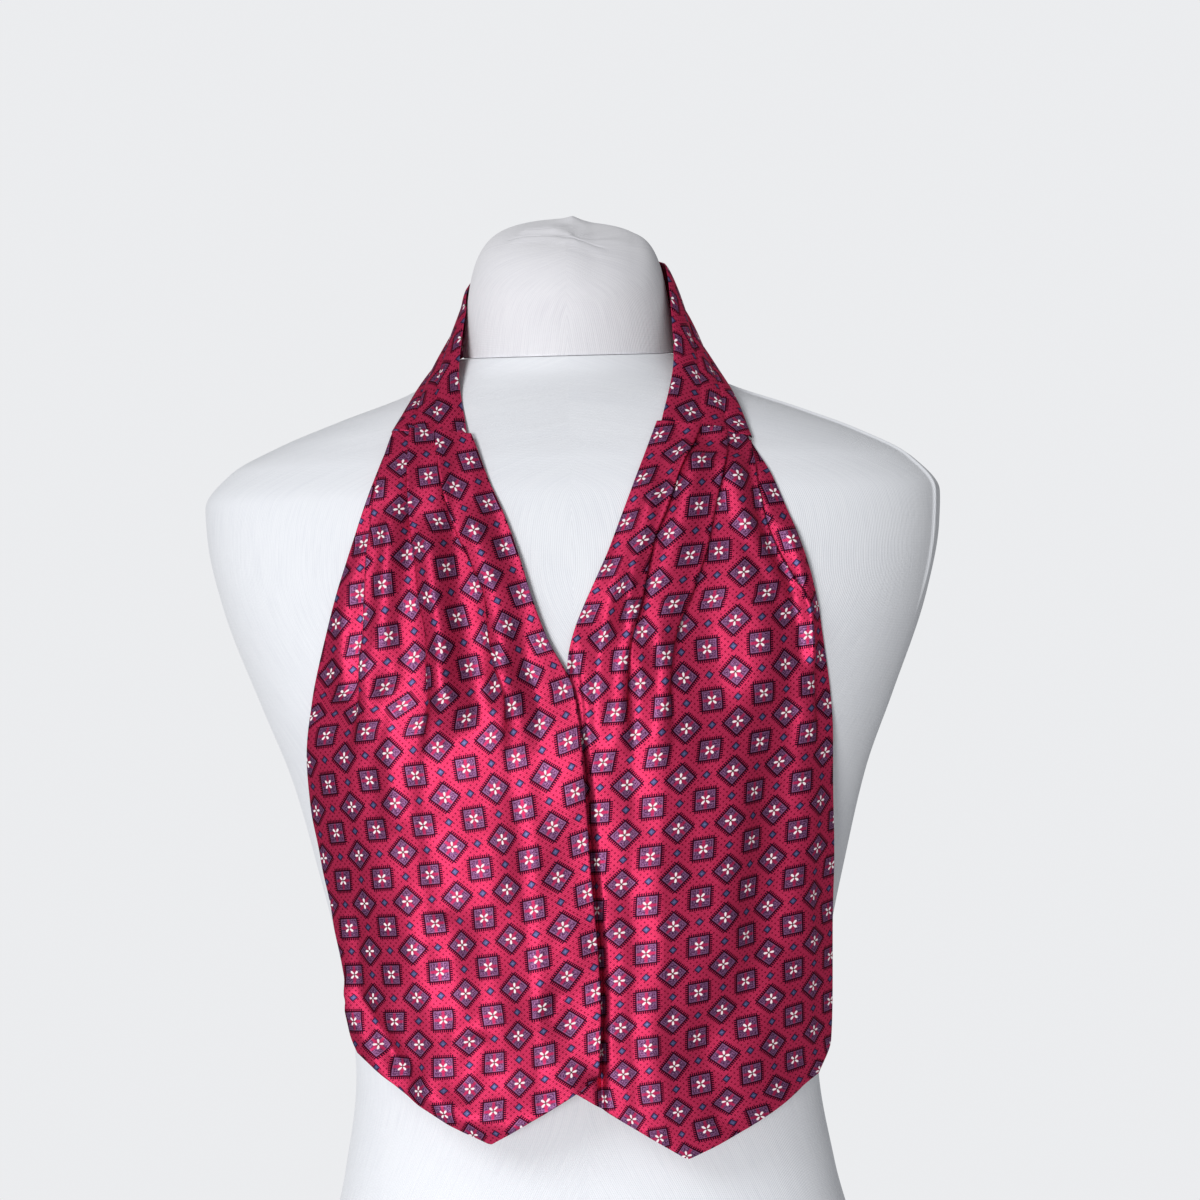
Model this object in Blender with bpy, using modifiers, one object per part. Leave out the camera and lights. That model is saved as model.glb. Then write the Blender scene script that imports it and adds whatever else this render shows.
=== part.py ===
"""A pleated day cravat worn on a limbless dress form.

Metres, +Z up, front towards -Y. The origin is the middle of the form's flat base.
"""

import math
from collections import namedtuple

import bmesh
import bpy
from mathutils import Vector

# Driving sizes
WALL = 0.0011               # cloth thickness
CLOTH_CLEARANCE = 0.0016    # from the form to the middle of the aprons
BAND_CLEARANCE = 0.0013     # and of the band
NECK_SEAM_HEIGHT = 0.632
SEAM_TILT = 0.085           # the neck's seam is lower in front
SEAM_TILT_REACH = 0.028     # above and below the seam
FOLD_RADIUS = 0.0009        # middle of the cloth, where a pleat is pressed flat
OVERLAP_LIFT = 0.0042       # how far the over apron stands off the under one
BAND_LIFT = 0.0020          # band ends lie halfway up the pressed pleats
BAND_END_RISE = 0.0005      # leaves the seam gap along the sloping cloth
OVERLAP_STARTS = -0.050     # x from which the over apron rises over the under one
OVERLAP_FULL = -0.022
CUT_EASE = 0.0005           # the cloth is cut this much wider than its widest row

RING_POINTS = 40            # around the form
LINE_SAMPLES = 60           # along each row, to measure it
SMALL_STEP = 0.002          # over which a slope is measured
APRON_ROWS = 26
TURN_STEPS = 4              # facets in each turn of a pleat
BAND_STEPS = 32             # along each half of the band
PANEL_STRIPS = 3            # across each panel of the band

FormSection = namedtuple("FormSection", "z half_width front back squareness")
TORSO = (
    FormSection(0.000, 0.1640, -0.106, 0.116, 2.50),
    FormSection(0.006, 0.1660, -0.108, 0.118, 2.50),
    FormSection(0.050, 0.1660, -0.108, 0.120, 2.50),
    FormSection(0.100, 0.1580, -0.105, 0.112, 2.40),
    FormSection(0.160, 0.1425, -0.102, 0.098, 2.30),
    FormSection(0.220, 0.1340, -0.101, 0.088, 2.30),
    FormSection(0.284, 0.1410, -0.108, 0.090, 2.30),
    FormSection(0.343, 0.1536, -0.119, 0.098, 2.30),
    FormSection(0.390, 0.1660, -0.125, 0.105, 2.30),
    FormSection(0.431, 0.1820, -0.128, 0.111, 2.30),
    FormSection(0.489, 0.2040, -0.122, 0.115, 2.30),
    FormSection(0.530, 0.2135, -0.109, 0.113, 2.20),
    FormSection(0.548, 0.2147, -0.101, 0.110, 2.20),
    FormSection(0.568, 0.2000, -0.089, 0.106, 2.15),
    FormSection(0.583, 0.1720, -0.080, 0.101, 2.10),
    FormSection(0.597, 0.1360, -0.073, 0.094, 2.10),
    FormSection(0.611, 0.0965, -0.067, 0.083, 2.05),
    FormSection(0.622, 0.0760, -0.064, 0.073, 2.00),
    FormSection(0.632, 0.0640, -0.062, 0.066, 2.00),
)
NECK = (
    FormSection(0.6323, 0.0620, -0.0600, 0.0630, 2.00),
    FormSection(0.6500, 0.0605, -0.0595, 0.0620, 2.00),
    FormSection(0.6750, 0.0573, -0.0580, 0.0600, 2.00),
    FormSection(0.6900, 0.0545, -0.0555, 0.0575, 2.00),
    FormSection(0.7000, 0.0500, -0.0510, 0.0530, 2.00),
    FormSection(0.7065, 0.0420, -0.0430, 0.0450, 2.00),
    FormSection(0.7110, 0.0290, -0.0300, 0.0315, 2.00),
    FormSection(0.7128, 0.0120, -0.0130, 0.0140, 2.00),
)
TORSO_RINGS = (0.0, 0.006, 0.05, 0.1, 0.16, 0.22, 0.284, 0.343, 0.39, 0.431, 0.462, 0.489,
               0.512, 0.53, 0.54, 0.548, 0.556, 0.563, 0.57, 0.577, 0.584, 0.591, 0.598,
               0.605, 0.611, 0.617, 0.622, 0.627, 0.632)
NECK_RINGS = (0.6323, 0.641, 0.652, 0.664, 0.676, 0.684, 0.691, 0.697, 0.702, 0.7065, 0.7095, 0.7118, 0.7128)

# Below the chest the cloth hangs freely from its widest and foremost line
HangSection = namedtuple("HangSection", "z half_width front")
CHEST_HEIGHT = 0.431
HANG = (
    HangSection(0.150, 0.1530, -0.1240),
    HangSection(0.220, 0.1550, -0.1260),
    HangSection(0.284, 0.1600, -0.1290),
    HangSection(0.343, 0.1670, -0.1310),
    HangSection(0.390, 0.1760, -0.1315),
    HangSection(CHEST_HEIGHT, 0.1820 + CLOTH_CLEARANCE, -0.1280 - CLOTH_CLEARANCE),
)

# The photo's edges of each apron, as x at heights z
Edge = namedtuple("Edge", "z x")
OVER_OUTER = (Edge(0.244, -0.1220), Edge(0.254, -0.1262), Edge(0.304, -0.1355), Edge(0.348, -0.1440),
              Edge(0.393, -0.1505), Edge(0.438, -0.1450), Edge(0.482, -0.1332), Edge(0.514, -0.1235),
              Edge(0.542, -0.1145), Edge(0.564, -0.1068), Edge(0.586, -0.0985))
OVER_INNER = (Edge(0.233, 0.0070), Edge(0.274, 0.0088), Edge(0.301, 0.0079), Edge(0.344, 0.0053),
              Edge(0.382, 0.0036), Edge(0.417, 0.0018), Edge(0.441, -0.0013), Edge(0.4502, -0.0050),
              Edge(0.4683, -0.0145), Edge(0.4901, -0.0222), Edge(0.5118, -0.0286), Edge(0.5342, -0.0360),
              Edge(0.5570, -0.0456), Edge(0.5815, -0.0545))
UNDER_OUTER = (Edge(0.224, 0.1288), Edge(0.241, 0.1360), Edge(0.291, 0.1384), Edge(0.347, 0.1402),
               Edge(0.414, 0.1404), Edge(0.475, 0.1344), Edge(0.519, 0.1236), Edge(0.553, 0.1116),
               Edge(0.575, 0.1008))
UNDER_INNER = (Edge(0.225, -0.0075), Edge(0.301, -0.0098), Edge(0.382, -0.0066), Edge(0.4546, -0.0037),
               Edge(0.520, 0.0217), Edge(0.587, 0.0487))

# Where each pleat's folded edge lies, from 0 at the apron's outer edge to 1 at its inner edge
PleatLine = namedtuple("PleatLine", "z outer middle inner")
OVER_PLEATS = (PleatLine(0.360, 0.20, 0.45, 0.76), PleatLine(0.446, 0.20, 0.47, 0.74),
               PleatLine(0.469, 0.197, 0.488, 0.758), PleatLine(0.491, 0.168, 0.451, 0.776),
               PleatLine(0.512, 0.136, 0.418, 0.721), PleatLine(0.530, 0.10, 0.369, 0.654),
               PleatLine(0.550, 0.054, 0.326, 0.608), PleatLine(0.580, 0.017, 0.262, 0.57))
UNDER_PLEATS = (PleatLine(0.360, 0.09, 0.66, 0.82), PleatLine(0.446, 0.06, 0.61, 0.80),
                PleatLine(0.478, 0.05, 0.58, 0.79), PleatLine(0.499, 0.095, 0.54, 0.79),
                PleatLine(0.518, 0.14, 0.50, 0.785), PleatLine(0.535, 0.16, 0.47, 0.75),
                PleatLine(0.551, 0.15, 0.42, 0.72), PleatLine(0.580, 0.04, 0.28, 0.56))

Apron = namedtuple("Apron", "name outer inner pleats seam_outer seam_inner hem_outer hem_tip hem_inner "
                            "tip_place tip_strip hem_bulge notch lift shares")
OVER = Apron("apron_over", OVER_OUTER, OVER_INNER, OVER_PLEATS, 0.5845, 0.5815,
             0.2440, 0.1970, 0.2335, 0.545, 1, 0.0035, 0.06, OVERLAP_LIFT, (0.28, 0.34, 0.38))
UNDER = Apron("apron_under", UNDER_OUTER, UNDER_INNER, UNDER_PLEATS, 0.5760, 0.5870,
              0.2240, 0.1855, 0.2250, 0.548, 0, 0.0030, 0.05, 0.0, (0.32, 0.34, 0.34))
PLEATS_OPEN_BELOW = 0.455
PLEATS_GONE_BELOW = 0.400
LEAST_PLEAT = 0.00003       # cloth taken up by a pleat that has opened out
PRESSED_PLEAT = 0.020       # cloth taken up by a pleat that is still pressed flat
LONGEST_OPEN_PLEAT = 0.009
WIDEST_TURN = 0.0045
SETTLE_LENGTH = 0.013       # over which the upper layer sinks back to the sheet
PLEAT_MARGIN = 0.0015       # past a pleat's inner turn before that starts
CUT_TAPER = 0.14            # the aprons are cut this much narrower at the seam
ROW_CROWDING = 1.35         # rows lie closer together near the seam

# Edges of the band from the back of the neck to each end, on the viewer's right and left
BandStation = namedtuple("BandStation", "top low")
BAND_RIGHT = (
    BandStation((0.000, 0.0625, 0.694), (0.000, 0.0690, 0.647)),
    BandStation((0.0430, 0.0430, 0.692), (0.048, 0.0510, 0.644)),
    BandStation((0.0550, 0.0200, 0.688), (0.068, 0.0220, 0.637)),
    BandStation((0.0585, -0.0030, 0.680), (0.079, -0.0040, 0.627)),
    BandStation((0.0600, -0.0280, 0.651), (0.088, -0.0300, 0.614)),
    BandStation((0.0595, -0.0500, 0.620), (0.0945, -0.0550, 0.600)),
)
BAND_LEFT = (
    BandStation((0.000, 0.0625, 0.694), (0.000, 0.0690, 0.647)),
    BandStation((0.0430, 0.0430, 0.690), (0.048, 0.0510, 0.643)),
    BandStation((0.0550, 0.0200, 0.681), (0.0655, 0.0220, 0.634)),
    BandStation((0.0578, -0.0030, 0.668), (0.0750, -0.0040, 0.6245)),
    BandStation((0.0608, -0.0280, 0.645), (0.0860, -0.0300, 0.6115)),
    BandStation((0.0625, -0.0500, 0.617), (0.0925, -0.0550, 0.599)),
)
BAND_PANELS = (0.0, 0.42, 0.73, 1.0)  # lengthwise creases, from its top to its low edge
BAND_PUFF = 0.0016          # how far the panels swell between the creases
BAND_END_BLEND = 0.70       # from here on the band comes off the form to meet its apron

COLOURS = {
    "jersey": (0.80, 0.81, 0.84, 1.0),
    "foulard": (0.46, 0.022, 0.075, 1.0),
}
ROUGHNESS = {"jersey": 0.85, "foulard": 0.48}


def clear_scene():
    for old in list(bpy.data.objects):
        bpy.data.objects.remove(old, do_unlink=True)


def read(table, column, z):
    """A smooth curve through one column of a table, level past its ends."""
    heights = [row.z for row in table]
    values = [getattr(row, column) for row in table]
    if z <= heights[0]:
        return values[0]
    if z >= heights[-1]:
        return values[-1]
    steps = [b - a for a, b in zip(heights, heights[1:])]
    rises = [(b - a) / step for a, b, step in zip(values, values[1:], steps)]
    slopes = [rises[0]]
    for i in range(1, len(rises)):
        slopes.append(blended_slope(rises[i - 1], rises[i], steps[i - 1], steps[i]))
    slopes.append(rises[-1])
    i = max(k for k in range(len(steps)) if heights[k] <= z)
    t = (z - heights[i]) / steps[i]
    start = (1 + 2 * t) * (1 - t) ** 2 * values[i] + t * (1 - t) ** 2 * steps[i] * slopes[i]
    end = t * t * (3 - 2 * t) * values[i + 1] + t * t * (t - 1) * steps[i] * slopes[i + 1]
    return start + end


def blended_slope(before, after, step_before, step_after):
    """A slope that never lets the curve swing past its points."""
    if before * after <= 0:
        return 0.0
    weight_before = step_before + 2 * step_after
    weight_after = 2 * step_before + step_after
    return (weight_before + weight_after) / (weight_before / before + weight_after / after)


def ease(low, high, value):
    """From 0 at low to 1 at high, level at both ends."""
    t = min(1.0, max(0.0, (value - low) / (high - low)))
    return t * t * (3 - 2 * t)


def form_ring(table, z):
    """Points of a rounded section of the form, seen from above, anticlockwise."""
    half_width = read(table, "half_width", z)
    front = read(table, "front", z)
    back = read(table, "back", z)
    power = 2 / read(table, "squareness", z)
    middle = (front + back) / 2
    half_depth = (back - front) / 2
    tilt = SEAM_TILT * (1 - ease(0.0, SEAM_TILT_REACH, abs(z - NECK_SEAM_HEIGHT)))
    ring = []
    for i in range(RING_POINTS):
        angle = 2 * math.pi * (i + 0.5) / RING_POINTS
        c, s = math.cos(angle), math.sin(angle)
        x = half_width * math.copysign(abs(c) ** power, c)
        y = middle + half_depth * math.copysign(abs(s) ** power, s)
        ring.append(Vector((x, y, z + tilt * y)))
    return ring


def hang_point(x, z):
    """The point at x and z of the sheet on which the aprons lie."""
    torso_z = max(z, CHEST_HEIGHT)
    front = read(TORSO, "front", torso_z)
    back = read(TORSO, "back", torso_z)
    power = read(TORSO, "squareness", torso_z)
    middle = (front + back) / 2
    if z >= CHEST_HEIGHT:
        half_width = read(TORSO, "half_width", z) + CLOTH_CLEARANCE
        reach = middle - front + CLOTH_CLEARANCE
    else:
        half_width = read(HANG, "half_width", z)
        reach = middle - read(HANG, "front", z)
    across = min(abs(x) / half_width, 0.999)
    return Vector((x, middle - reach * (1 - across ** power) ** (1 / power), z))


def hang_normal(x, z):
    along_x = hang_point(x + SMALL_STEP, z) - hang_point(x - SMALL_STEP, z)
    along_z = hang_point(x, z + SMALL_STEP) - hang_point(x, z - SMALL_STEP)
    return along_x.cross(along_z).normalized()


def seam_line(apron, f):
    return apron.seam_outer + (apron.seam_inner - apron.seam_outer) * f


def hem_line(apron, f):
    """The pointed hem, from 0 at the outer corner to 1 at the inner corner."""
    if f < apron.tip_place:
        run = f / apron.tip_place
        bulge = apron.hem_bulge * math.sin(math.pi * run)
        return apron.hem_outer + (apron.hem_tip - apron.hem_outer) * run - bulge
    share = (f - apron.tip_place) / (1 - apron.tip_place)
    return apron.hem_tip + (apron.hem_inner - apron.hem_tip) * share


def row_height(apron, t, f):
    """Height of a row, from the seam at t = 0 to the hem at t = 1."""
    seam_middle = seam_line(apron, 0.5)
    hem_middle = (apron.hem_outer + apron.hem_inner) / 2 - 0.02
    level = seam_middle + (hem_middle - seam_middle) * t
    near_seam = 1 - ease(0.0, 0.25, t)
    near_hem = ease(0.45, 1.0, t)
    return (level + near_seam * (seam_line(apron, f) - seam_middle)
            + near_hem * (hem_line(apron, f) - hem_middle))


def base_line(apron, t):
    """A row's line on the hanging sheet: x, height and distance from the outer edge."""
    outer = read(apron.outer, "x", row_height(apron, t, 0))
    inner = read(apron.inner, "x", row_height(apron, t, 1))
    line = []
    distance = 0.0
    before = None
    for i in range(LINE_SAMPLES + 1):
        f = i / LINE_SAMPLES
        x = outer + (inner - outer) * f
        point = hang_point(x, row_height(apron, t, f))
        if before is not None:
            distance += math.hypot(point.x - before.x, point.y - before.y)
        line.append((distance, x, point.z, f))
        before = point
    return line


def along(line, distance):
    """Position x and height z at a distance along a base line, straight on past its ends."""
    i = 0
    while i < len(line) - 2 and line[i + 1][0] < distance:
        i += 1
    a, b = line[i], line[i + 1]
    share = (distance - a[0]) / (b[0] - a[0])
    return a[1] + (b[1] - a[1]) * share, a[2] + (b[2] - a[2]) * share


def flat_width(apron):
    return max(base_line(apron, i / 30)[-1][0] for i in range(31)) + CUT_EASE


def pleat_shape(taken):
    """Radius, angle and flat length of a pleat that takes up this much cloth."""
    openness = max(0.0, 1 - taken / PRESSED_PLEAT)
    radius = FOLD_RADIUS + (WIDEST_TURN - FOLD_RADIUS) * openness ** 4
    if taken >= 2 * math.pi * radius:
        return radius, math.pi, taken / 2 - math.pi * radius
    angle = solve(lambda a: 2 * radius * (a - math.sin(a)) - taken)
    if 2 * radius * angle < LONGEST_OPEN_PLEAT:
        angle = solve(lambda a: LONGEST_OPEN_PLEAT * (1 - math.sin(a) / a) - taken)
        radius = LONGEST_OPEN_PLEAT / (2 * angle)
    return radius, angle, 0.0


def solve(excess):
    """The angle from 0 to a half turn at which a rising function is zero."""
    low, high = 0.001, math.pi
    for _ in range(50):
        middle = (low + high) / 2
        if excess(middle) < 0:
            low = middle
        else:
            high = middle
    return (low + high) / 2


def pleat_points(start, level, shape):
    """The two turns of one pleat in section, from its lower layer to its upper layer."""
    radius, angle, flat = shape
    turn = [angle * i / (TURN_STEPS - 0.5) for i in range(TURN_STEPS)]
    points = [(start + radius * math.sin(a), level + radius * (1 - math.cos(a))) for a in turn]
    end_x = start + 2 * radius * math.sin(angle) + flat * math.cos(angle)
    end_level = level + 2 * radius * (1 - math.cos(angle)) + flat * math.sin(angle)
    points.append(((start + end_x) / 2, (level + end_level) / 2))
    for a in reversed(turn):
        points.append((end_x - radius * math.sin(a), end_level - radius * (1 - math.cos(a))))
    return points


def pleat_start(radius, angle, flat):
    """Where the lower turn starts, measured from the place of the pleat's edge."""
    if angle > math.pi / 2:
        return flat + radius - radius * math.sin(angle)
    return -radius * math.sin(angle) * (1 - 2 * angle / math.pi)


def level_strip(start, place, end, level, tip=None):
    """Points strictly between two pleats, or between a pleat and the inner edge."""
    xs = [(start + place) / 2, place, place + min(SETTLE_LENGTH / 2, (end - place) * 0.4)]
    if tip is not None:
        room = end - xs[-1]
        xs.append(min(max(tip, xs[-1] + room * 0.3), xs[-1] + room * 0.7))
    xs.append((xs[-1] + end) / 2)
    return [(x, level) for x in xs]


def apron_section(apron, t, width, line):
    """One row of the apron: distance along its base line and height above the sheet."""
    length = line[-1][0]
    z = row_height(apron, t, 0.5)
    cut_width = width * (1 - CUT_TAPER * ease(PLEATS_GONE_BELOW, apron.seam_inner, z))
    slack = max(0.0, cut_width - length) * ease(PLEATS_GONE_BELOW, PLEATS_OPEN_BELOW, z)
    shapes = [pleat_shape(max(share * slack, LEAST_PLEAT)) for share in apron.shares]
    edges = [read(apron.pleats, column, z) * length for column in ("outer", "middle", "inner")]
    starts = [edge + pleat_start(*shape) for edge, shape in zip(edges, shapes)]
    ends = starts[1:] + [length]
    points = [(0.0, 0.0), (starts[0] / 2, 0.0)]
    level = 0.0
    drops = []
    for k, (start, end, shape) in enumerate(zip(starts, ends, shapes)):
        radius, angle, flat = shape
        points += pleat_points(start, level, shape)
        rise = 2 * radius * (1 - math.cos(angle))
        level += rise
        place = start + 2 * radius * math.sin(min(angle, math.pi / 2)) + PLEAT_MARGIN
        drops.append((place, rise))
        tip = apron.tip_place * length if k == apron.tip_strip else None
        points += level_strip(points[-1][0], place, end, level, tip)
    points.append((length, level))
    settled = []
    for x, h in points:
        drop = sum(rise * ease(place, place + SETTLE_LENGTH, x) for place, rise in drops)
        settled.append((x, h - drop))
    return settled


def apron_grid(apron):
    width = flat_width(apron)
    grid = []
    for j in range(APRON_ROWS):
        t = (j / (APRON_ROWS - 1)) ** ROW_CROWDING
        line = base_line(apron, t)
        row = []
        for distance, height in apron_section(apron, t, width, line):
            x, z = along(line, distance)
            lift = height + apron.lift * ease(OVERLAP_STARTS, OVERLAP_FULL, x)
            row.append(hang_point(x, z) + hang_normal(x, z) * lift)
        grid.append(row)
    return grid


def band_edge(u, side, edge):
    """A point on one edge of the band, u from 0 behind the neck to 1 at an apron."""
    stations = [Vector(getattr(station, edge)) for station in (BAND_RIGHT if side > 0 else BAND_LEFT)]
    before = Vector((-stations[1].x, stations[1].y, stations[1].z))
    end = seam_point(side, 0.0 if edge == "top" else 1.0)
    points = [before] + stations + [Vector((abs(end.x), end.y, end.z))]
    points.append(points[-1] * 2 - points[-2])
    place = u * (len(points) - 3)
    i = min(int(place), len(points) - 4)
    point = curve_point(points[i:i + 4], place - i)
    return Vector((side * point.x, point.y, point.z))


def curve_point(four, t):
    """A smooth curve between the second and third of four points."""
    a, b, c, d = four
    return (b * 2 + (c - a) * t + (a * 2 - b * 5 + c * 4 - d) * t ** 2
            + (b * 3 - a - c * 3 + d) * t ** 3) / 2


def stand_clear(point):
    """Moves a point of the band out to its clearance from the form."""
    table = TORSO if point.z < NECK_SEAM_HEIGHT else NECK
    half_width = read(table, "half_width", point.z) + BAND_CLEARANCE
    front = read(table, "front", point.z) - BAND_CLEARANCE
    back = read(table, "back", point.z) + BAND_CLEARANCE
    power = read(table, "squareness", point.z)
    middle = (front + back) / 2
    across = abs(point.x) / half_width
    deep = abs(point.y - middle) / ((back - front) / 2)
    scale = (across ** power + deep ** power) ** (1 / power)
    if scale >= 1:
        return point
    return Vector((point.x / scale, middle + (point.y - middle) / scale, point.z))


def band_grid():
    grid = []
    for side in (-1, 1):
        ends = [band_edge(1.0, side, "top"), band_edge(1.0, side, "low")]
        shifts = [seam_point(side, v) - ends[0].lerp(ends[1], v) for v, puff in across_band()]
        half = []
        for i in range(BAND_STEPS + 1):
            u = i / BAND_STEPS
            top = band_edge(u, side, "top")
            low = band_edge(u, side, "low")
            outward = band_normal(u, side)
            share = ease(BAND_END_BLEND, 1.0, u)
            row = []
            for (v, puff), shift in zip(across_band(), shifts):
                point = top.lerp(low, v)
                resting = stand_clear(point) * (1 - share) + (point + shift * share) * share
                row.append(resting + outward * puff)
            half.append(row)
        grid = half[::-1] if side < 0 else grid + half[1:]
    return grid


def across_band():
    """Places across the band, and how far its panels swell there."""
    places = []
    for start, end in zip(BAND_PANELS, BAND_PANELS[1:]):
        for k in range(PANEL_STRIPS):
            share = k / PANEL_STRIPS
            places.append((start + (end - start) * share, BAND_PUFF * math.sin(math.pi * share)))
    return places + [(1.0, 0.0)]


def band_normal(u, side):
    """The way out of the band, square to its length and its width."""
    width = band_edge(u, side, "low") - band_edge(u, side, "top")
    near = max(0.0, u - 0.02)
    far = min(1.0, u + 0.02)
    middle = [(band_edge(place, side, "low") + band_edge(place, side, "top")) / 2 for place in (near, far)]
    length = middle[1] - middle[0]
    return (length.cross(width) * side).normalized()


def seam_point(side, v):
    """A point of the band's end, which follows the top of an apron."""
    apron = UNDER if side > 0 else OVER
    inner_x = read(apron.inner, "x", apron.seam_inner)
    outer_x = read(apron.outer, "x", apron.seam_outer)
    place = apron.notch + (1 - apron.notch) * v
    x = inner_x + (outer_x - inner_x) * place
    z = apron.seam_inner + (apron.seam_outer - apron.seam_inner) * place + BAND_END_RISE
    return hang_point(x, z) + hang_normal(x, z) * BAND_LIFT


def material(name):
    made = bpy.data.materials.new(name)
    made.use_nodes = True
    shader = made.node_tree.nodes["Principled BSDF"]
    shader.inputs["Base Color"].default_value = COLOURS[name.split(".")[0]]
    shader.inputs["Roughness"].default_value = ROUGHNESS[name.split(".")[0]]
    shader.inputs["Metallic"].default_value = 0.0
    made.diffuse_color = COLOURS[name.split(".")[0]]
    return made


def add_object(name, mesh, kind):
    made = bpy.data.objects.new(name, mesh)
    made.data.materials.append(material(kind + "." + name))
    parts.objects.link(made)
    return made


def grid_mesh(name, grid, closed=False):
    """A sheet of quads through rows of points; a closed one joins each row's ends and has flat caps."""
    mesh = bmesh.new()
    rows = [[mesh.verts.new(point) for point in row] for row in grid]
    count = len(rows[0])
    for upper, lower in zip(rows, rows[1:]):
        for i in range(count if closed else count - 1):
            k = (i + 1) % count
            mesh.faces.new((upper[i], upper[k], lower[k], lower[i]))
    if closed:
        mesh.faces.new(rows[0])
        mesh.faces.new(rows[-1])
    bmesh.ops.recalc_face_normals(mesh, faces=mesh.faces)
    data = bpy.data.meshes.new(name)
    mesh.to_mesh(data)
    mesh.free()
    return data


def form_solid(name, table, heights):
    mesh = grid_mesh(name, [form_ring(table, z) for z in heights], closed=True)
    mesh.shade_smooth()
    mesh.set_sharp_from_angle(angle=math.radians(45))
    return add_object(name, mesh, "jersey")


def cloth_solid(name, grid):
    made = add_object(name, grid_mesh(name, grid), "foulard")
    made.data.shade_smooth()
    wall = made.modifiers.new("wall", "SOLIDIFY")
    wall.thickness = WALL
    wall.offset = 0.0
    wall.use_even_offset = True
    wall.use_quality_normals = True
    return made


clear_scene()
parts = bpy.data.collections.new("cravat_on_dress_form")
bpy.context.scene.collection.children.link(parts)
form_solid("dress_form_torso", TORSO, TORSO_RINGS)
form_solid("dress_form_neck_cap", NECK, NECK_RINGS)
cloth_solid("apron_under", apron_grid(UNDER))
cloth_solid("apron_over", apron_grid(OVER))
cloth_solid("neck_band", band_grid())
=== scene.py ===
"""The looks of a pleated silk day cravat worn on a jersey-covered dress form.

Metres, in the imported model's frame: +Z up, front towards -Y, origin in the middle of the form's base.
"""

import math
from collections import namedtuple

import bpy
import numpy as np
from mathutils import Matrix, Vector


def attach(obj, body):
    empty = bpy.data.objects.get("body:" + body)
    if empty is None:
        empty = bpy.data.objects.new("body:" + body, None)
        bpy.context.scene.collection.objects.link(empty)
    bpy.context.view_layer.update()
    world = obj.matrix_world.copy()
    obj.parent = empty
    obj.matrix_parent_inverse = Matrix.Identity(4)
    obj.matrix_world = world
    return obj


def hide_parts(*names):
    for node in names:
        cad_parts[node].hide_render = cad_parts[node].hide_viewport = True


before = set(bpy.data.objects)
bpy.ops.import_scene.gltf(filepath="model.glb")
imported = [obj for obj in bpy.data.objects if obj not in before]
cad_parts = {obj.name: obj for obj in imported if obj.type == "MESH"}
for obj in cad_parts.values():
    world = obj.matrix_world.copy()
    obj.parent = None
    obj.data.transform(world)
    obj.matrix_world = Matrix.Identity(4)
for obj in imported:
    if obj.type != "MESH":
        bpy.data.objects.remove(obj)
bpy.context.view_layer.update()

# Sizes of the cloth and of the sheet that it lies on
CLOTH_CLEARANCE = 0.0016    # from the form to the middle of the aprons
BAND_CLEARANCE = 0.0013     # and of the band
NECK_SEAM_HEIGHT = 0.632
SILK = 0.0008               # two layers of silk twill
FOLD_RADIUS = 0.0008        # middle of the cloth, where a pleat is pressed flat
OVERLAP_LIFT = 0.0042       # how far the over apron stands off the under one
BAND_LIFT = 0.0020
BAND_END_RISE = 0.0005

FormSection = namedtuple("FormSection", "z half_width front back squareness")
TORSO = (
    FormSection(0.000, 0.1640, -0.106, 0.116, 2.50),
    FormSection(0.006, 0.1660, -0.108, 0.118, 2.50),
    FormSection(0.050, 0.1660, -0.108, 0.120, 2.50),
    FormSection(0.100, 0.1580, -0.105, 0.112, 2.40),
    FormSection(0.160, 0.1425, -0.102, 0.098, 2.30),
    FormSection(0.220, 0.1340, -0.101, 0.088, 2.30),
    FormSection(0.284, 0.1410, -0.108, 0.090, 2.30),
    FormSection(0.343, 0.1536, -0.119, 0.098, 2.30),
    FormSection(0.390, 0.1660, -0.125, 0.105, 2.30),
    FormSection(0.431, 0.1820, -0.128, 0.111, 2.30),
    FormSection(0.489, 0.2040, -0.122, 0.115, 2.30),
    FormSection(0.530, 0.2135, -0.109, 0.113, 2.20),
    FormSection(0.548, 0.2147, -0.101, 0.110, 2.20),
    FormSection(0.568, 0.2000, -0.089, 0.106, 2.15),
    FormSection(0.583, 0.1720, -0.080, 0.101, 2.10),
    FormSection(0.597, 0.1360, -0.073, 0.094, 2.10),
    FormSection(0.611, 0.0965, -0.067, 0.083, 2.05),
    FormSection(0.622, 0.0760, -0.064, 0.073, 2.00),
    FormSection(0.632, 0.0640, -0.062, 0.066, 2.00),
)
NECK = (
    FormSection(0.6323, 0.0620, -0.0600, 0.0630, 2.00),
    FormSection(0.6500, 0.0605, -0.0595, 0.0620, 2.00),
    FormSection(0.6680, 0.0583, -0.0586, 0.0606, 2.00),
    FormSection(0.6780, 0.0567, -0.0575, 0.0595, 2.00),
    FormSection(0.6860, 0.0549, -0.0558, 0.0578, 2.00),
    FormSection(0.6940, 0.0521, -0.0531, 0.0551, 2.00),
    FormSection(0.7010, 0.0480, -0.0490, 0.0510, 2.00),
    FormSection(0.7065, 0.0420, -0.0430, 0.0450, 2.00),
    FormSection(0.7105, 0.0320, -0.0330, 0.0345, 2.00),
    FormSection(0.7128, 0.0120, -0.0130, 0.0140, 2.00),
)
HangSection = namedtuple("HangSection", "z half_width front")
CHEST_HEIGHT = 0.431
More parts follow.
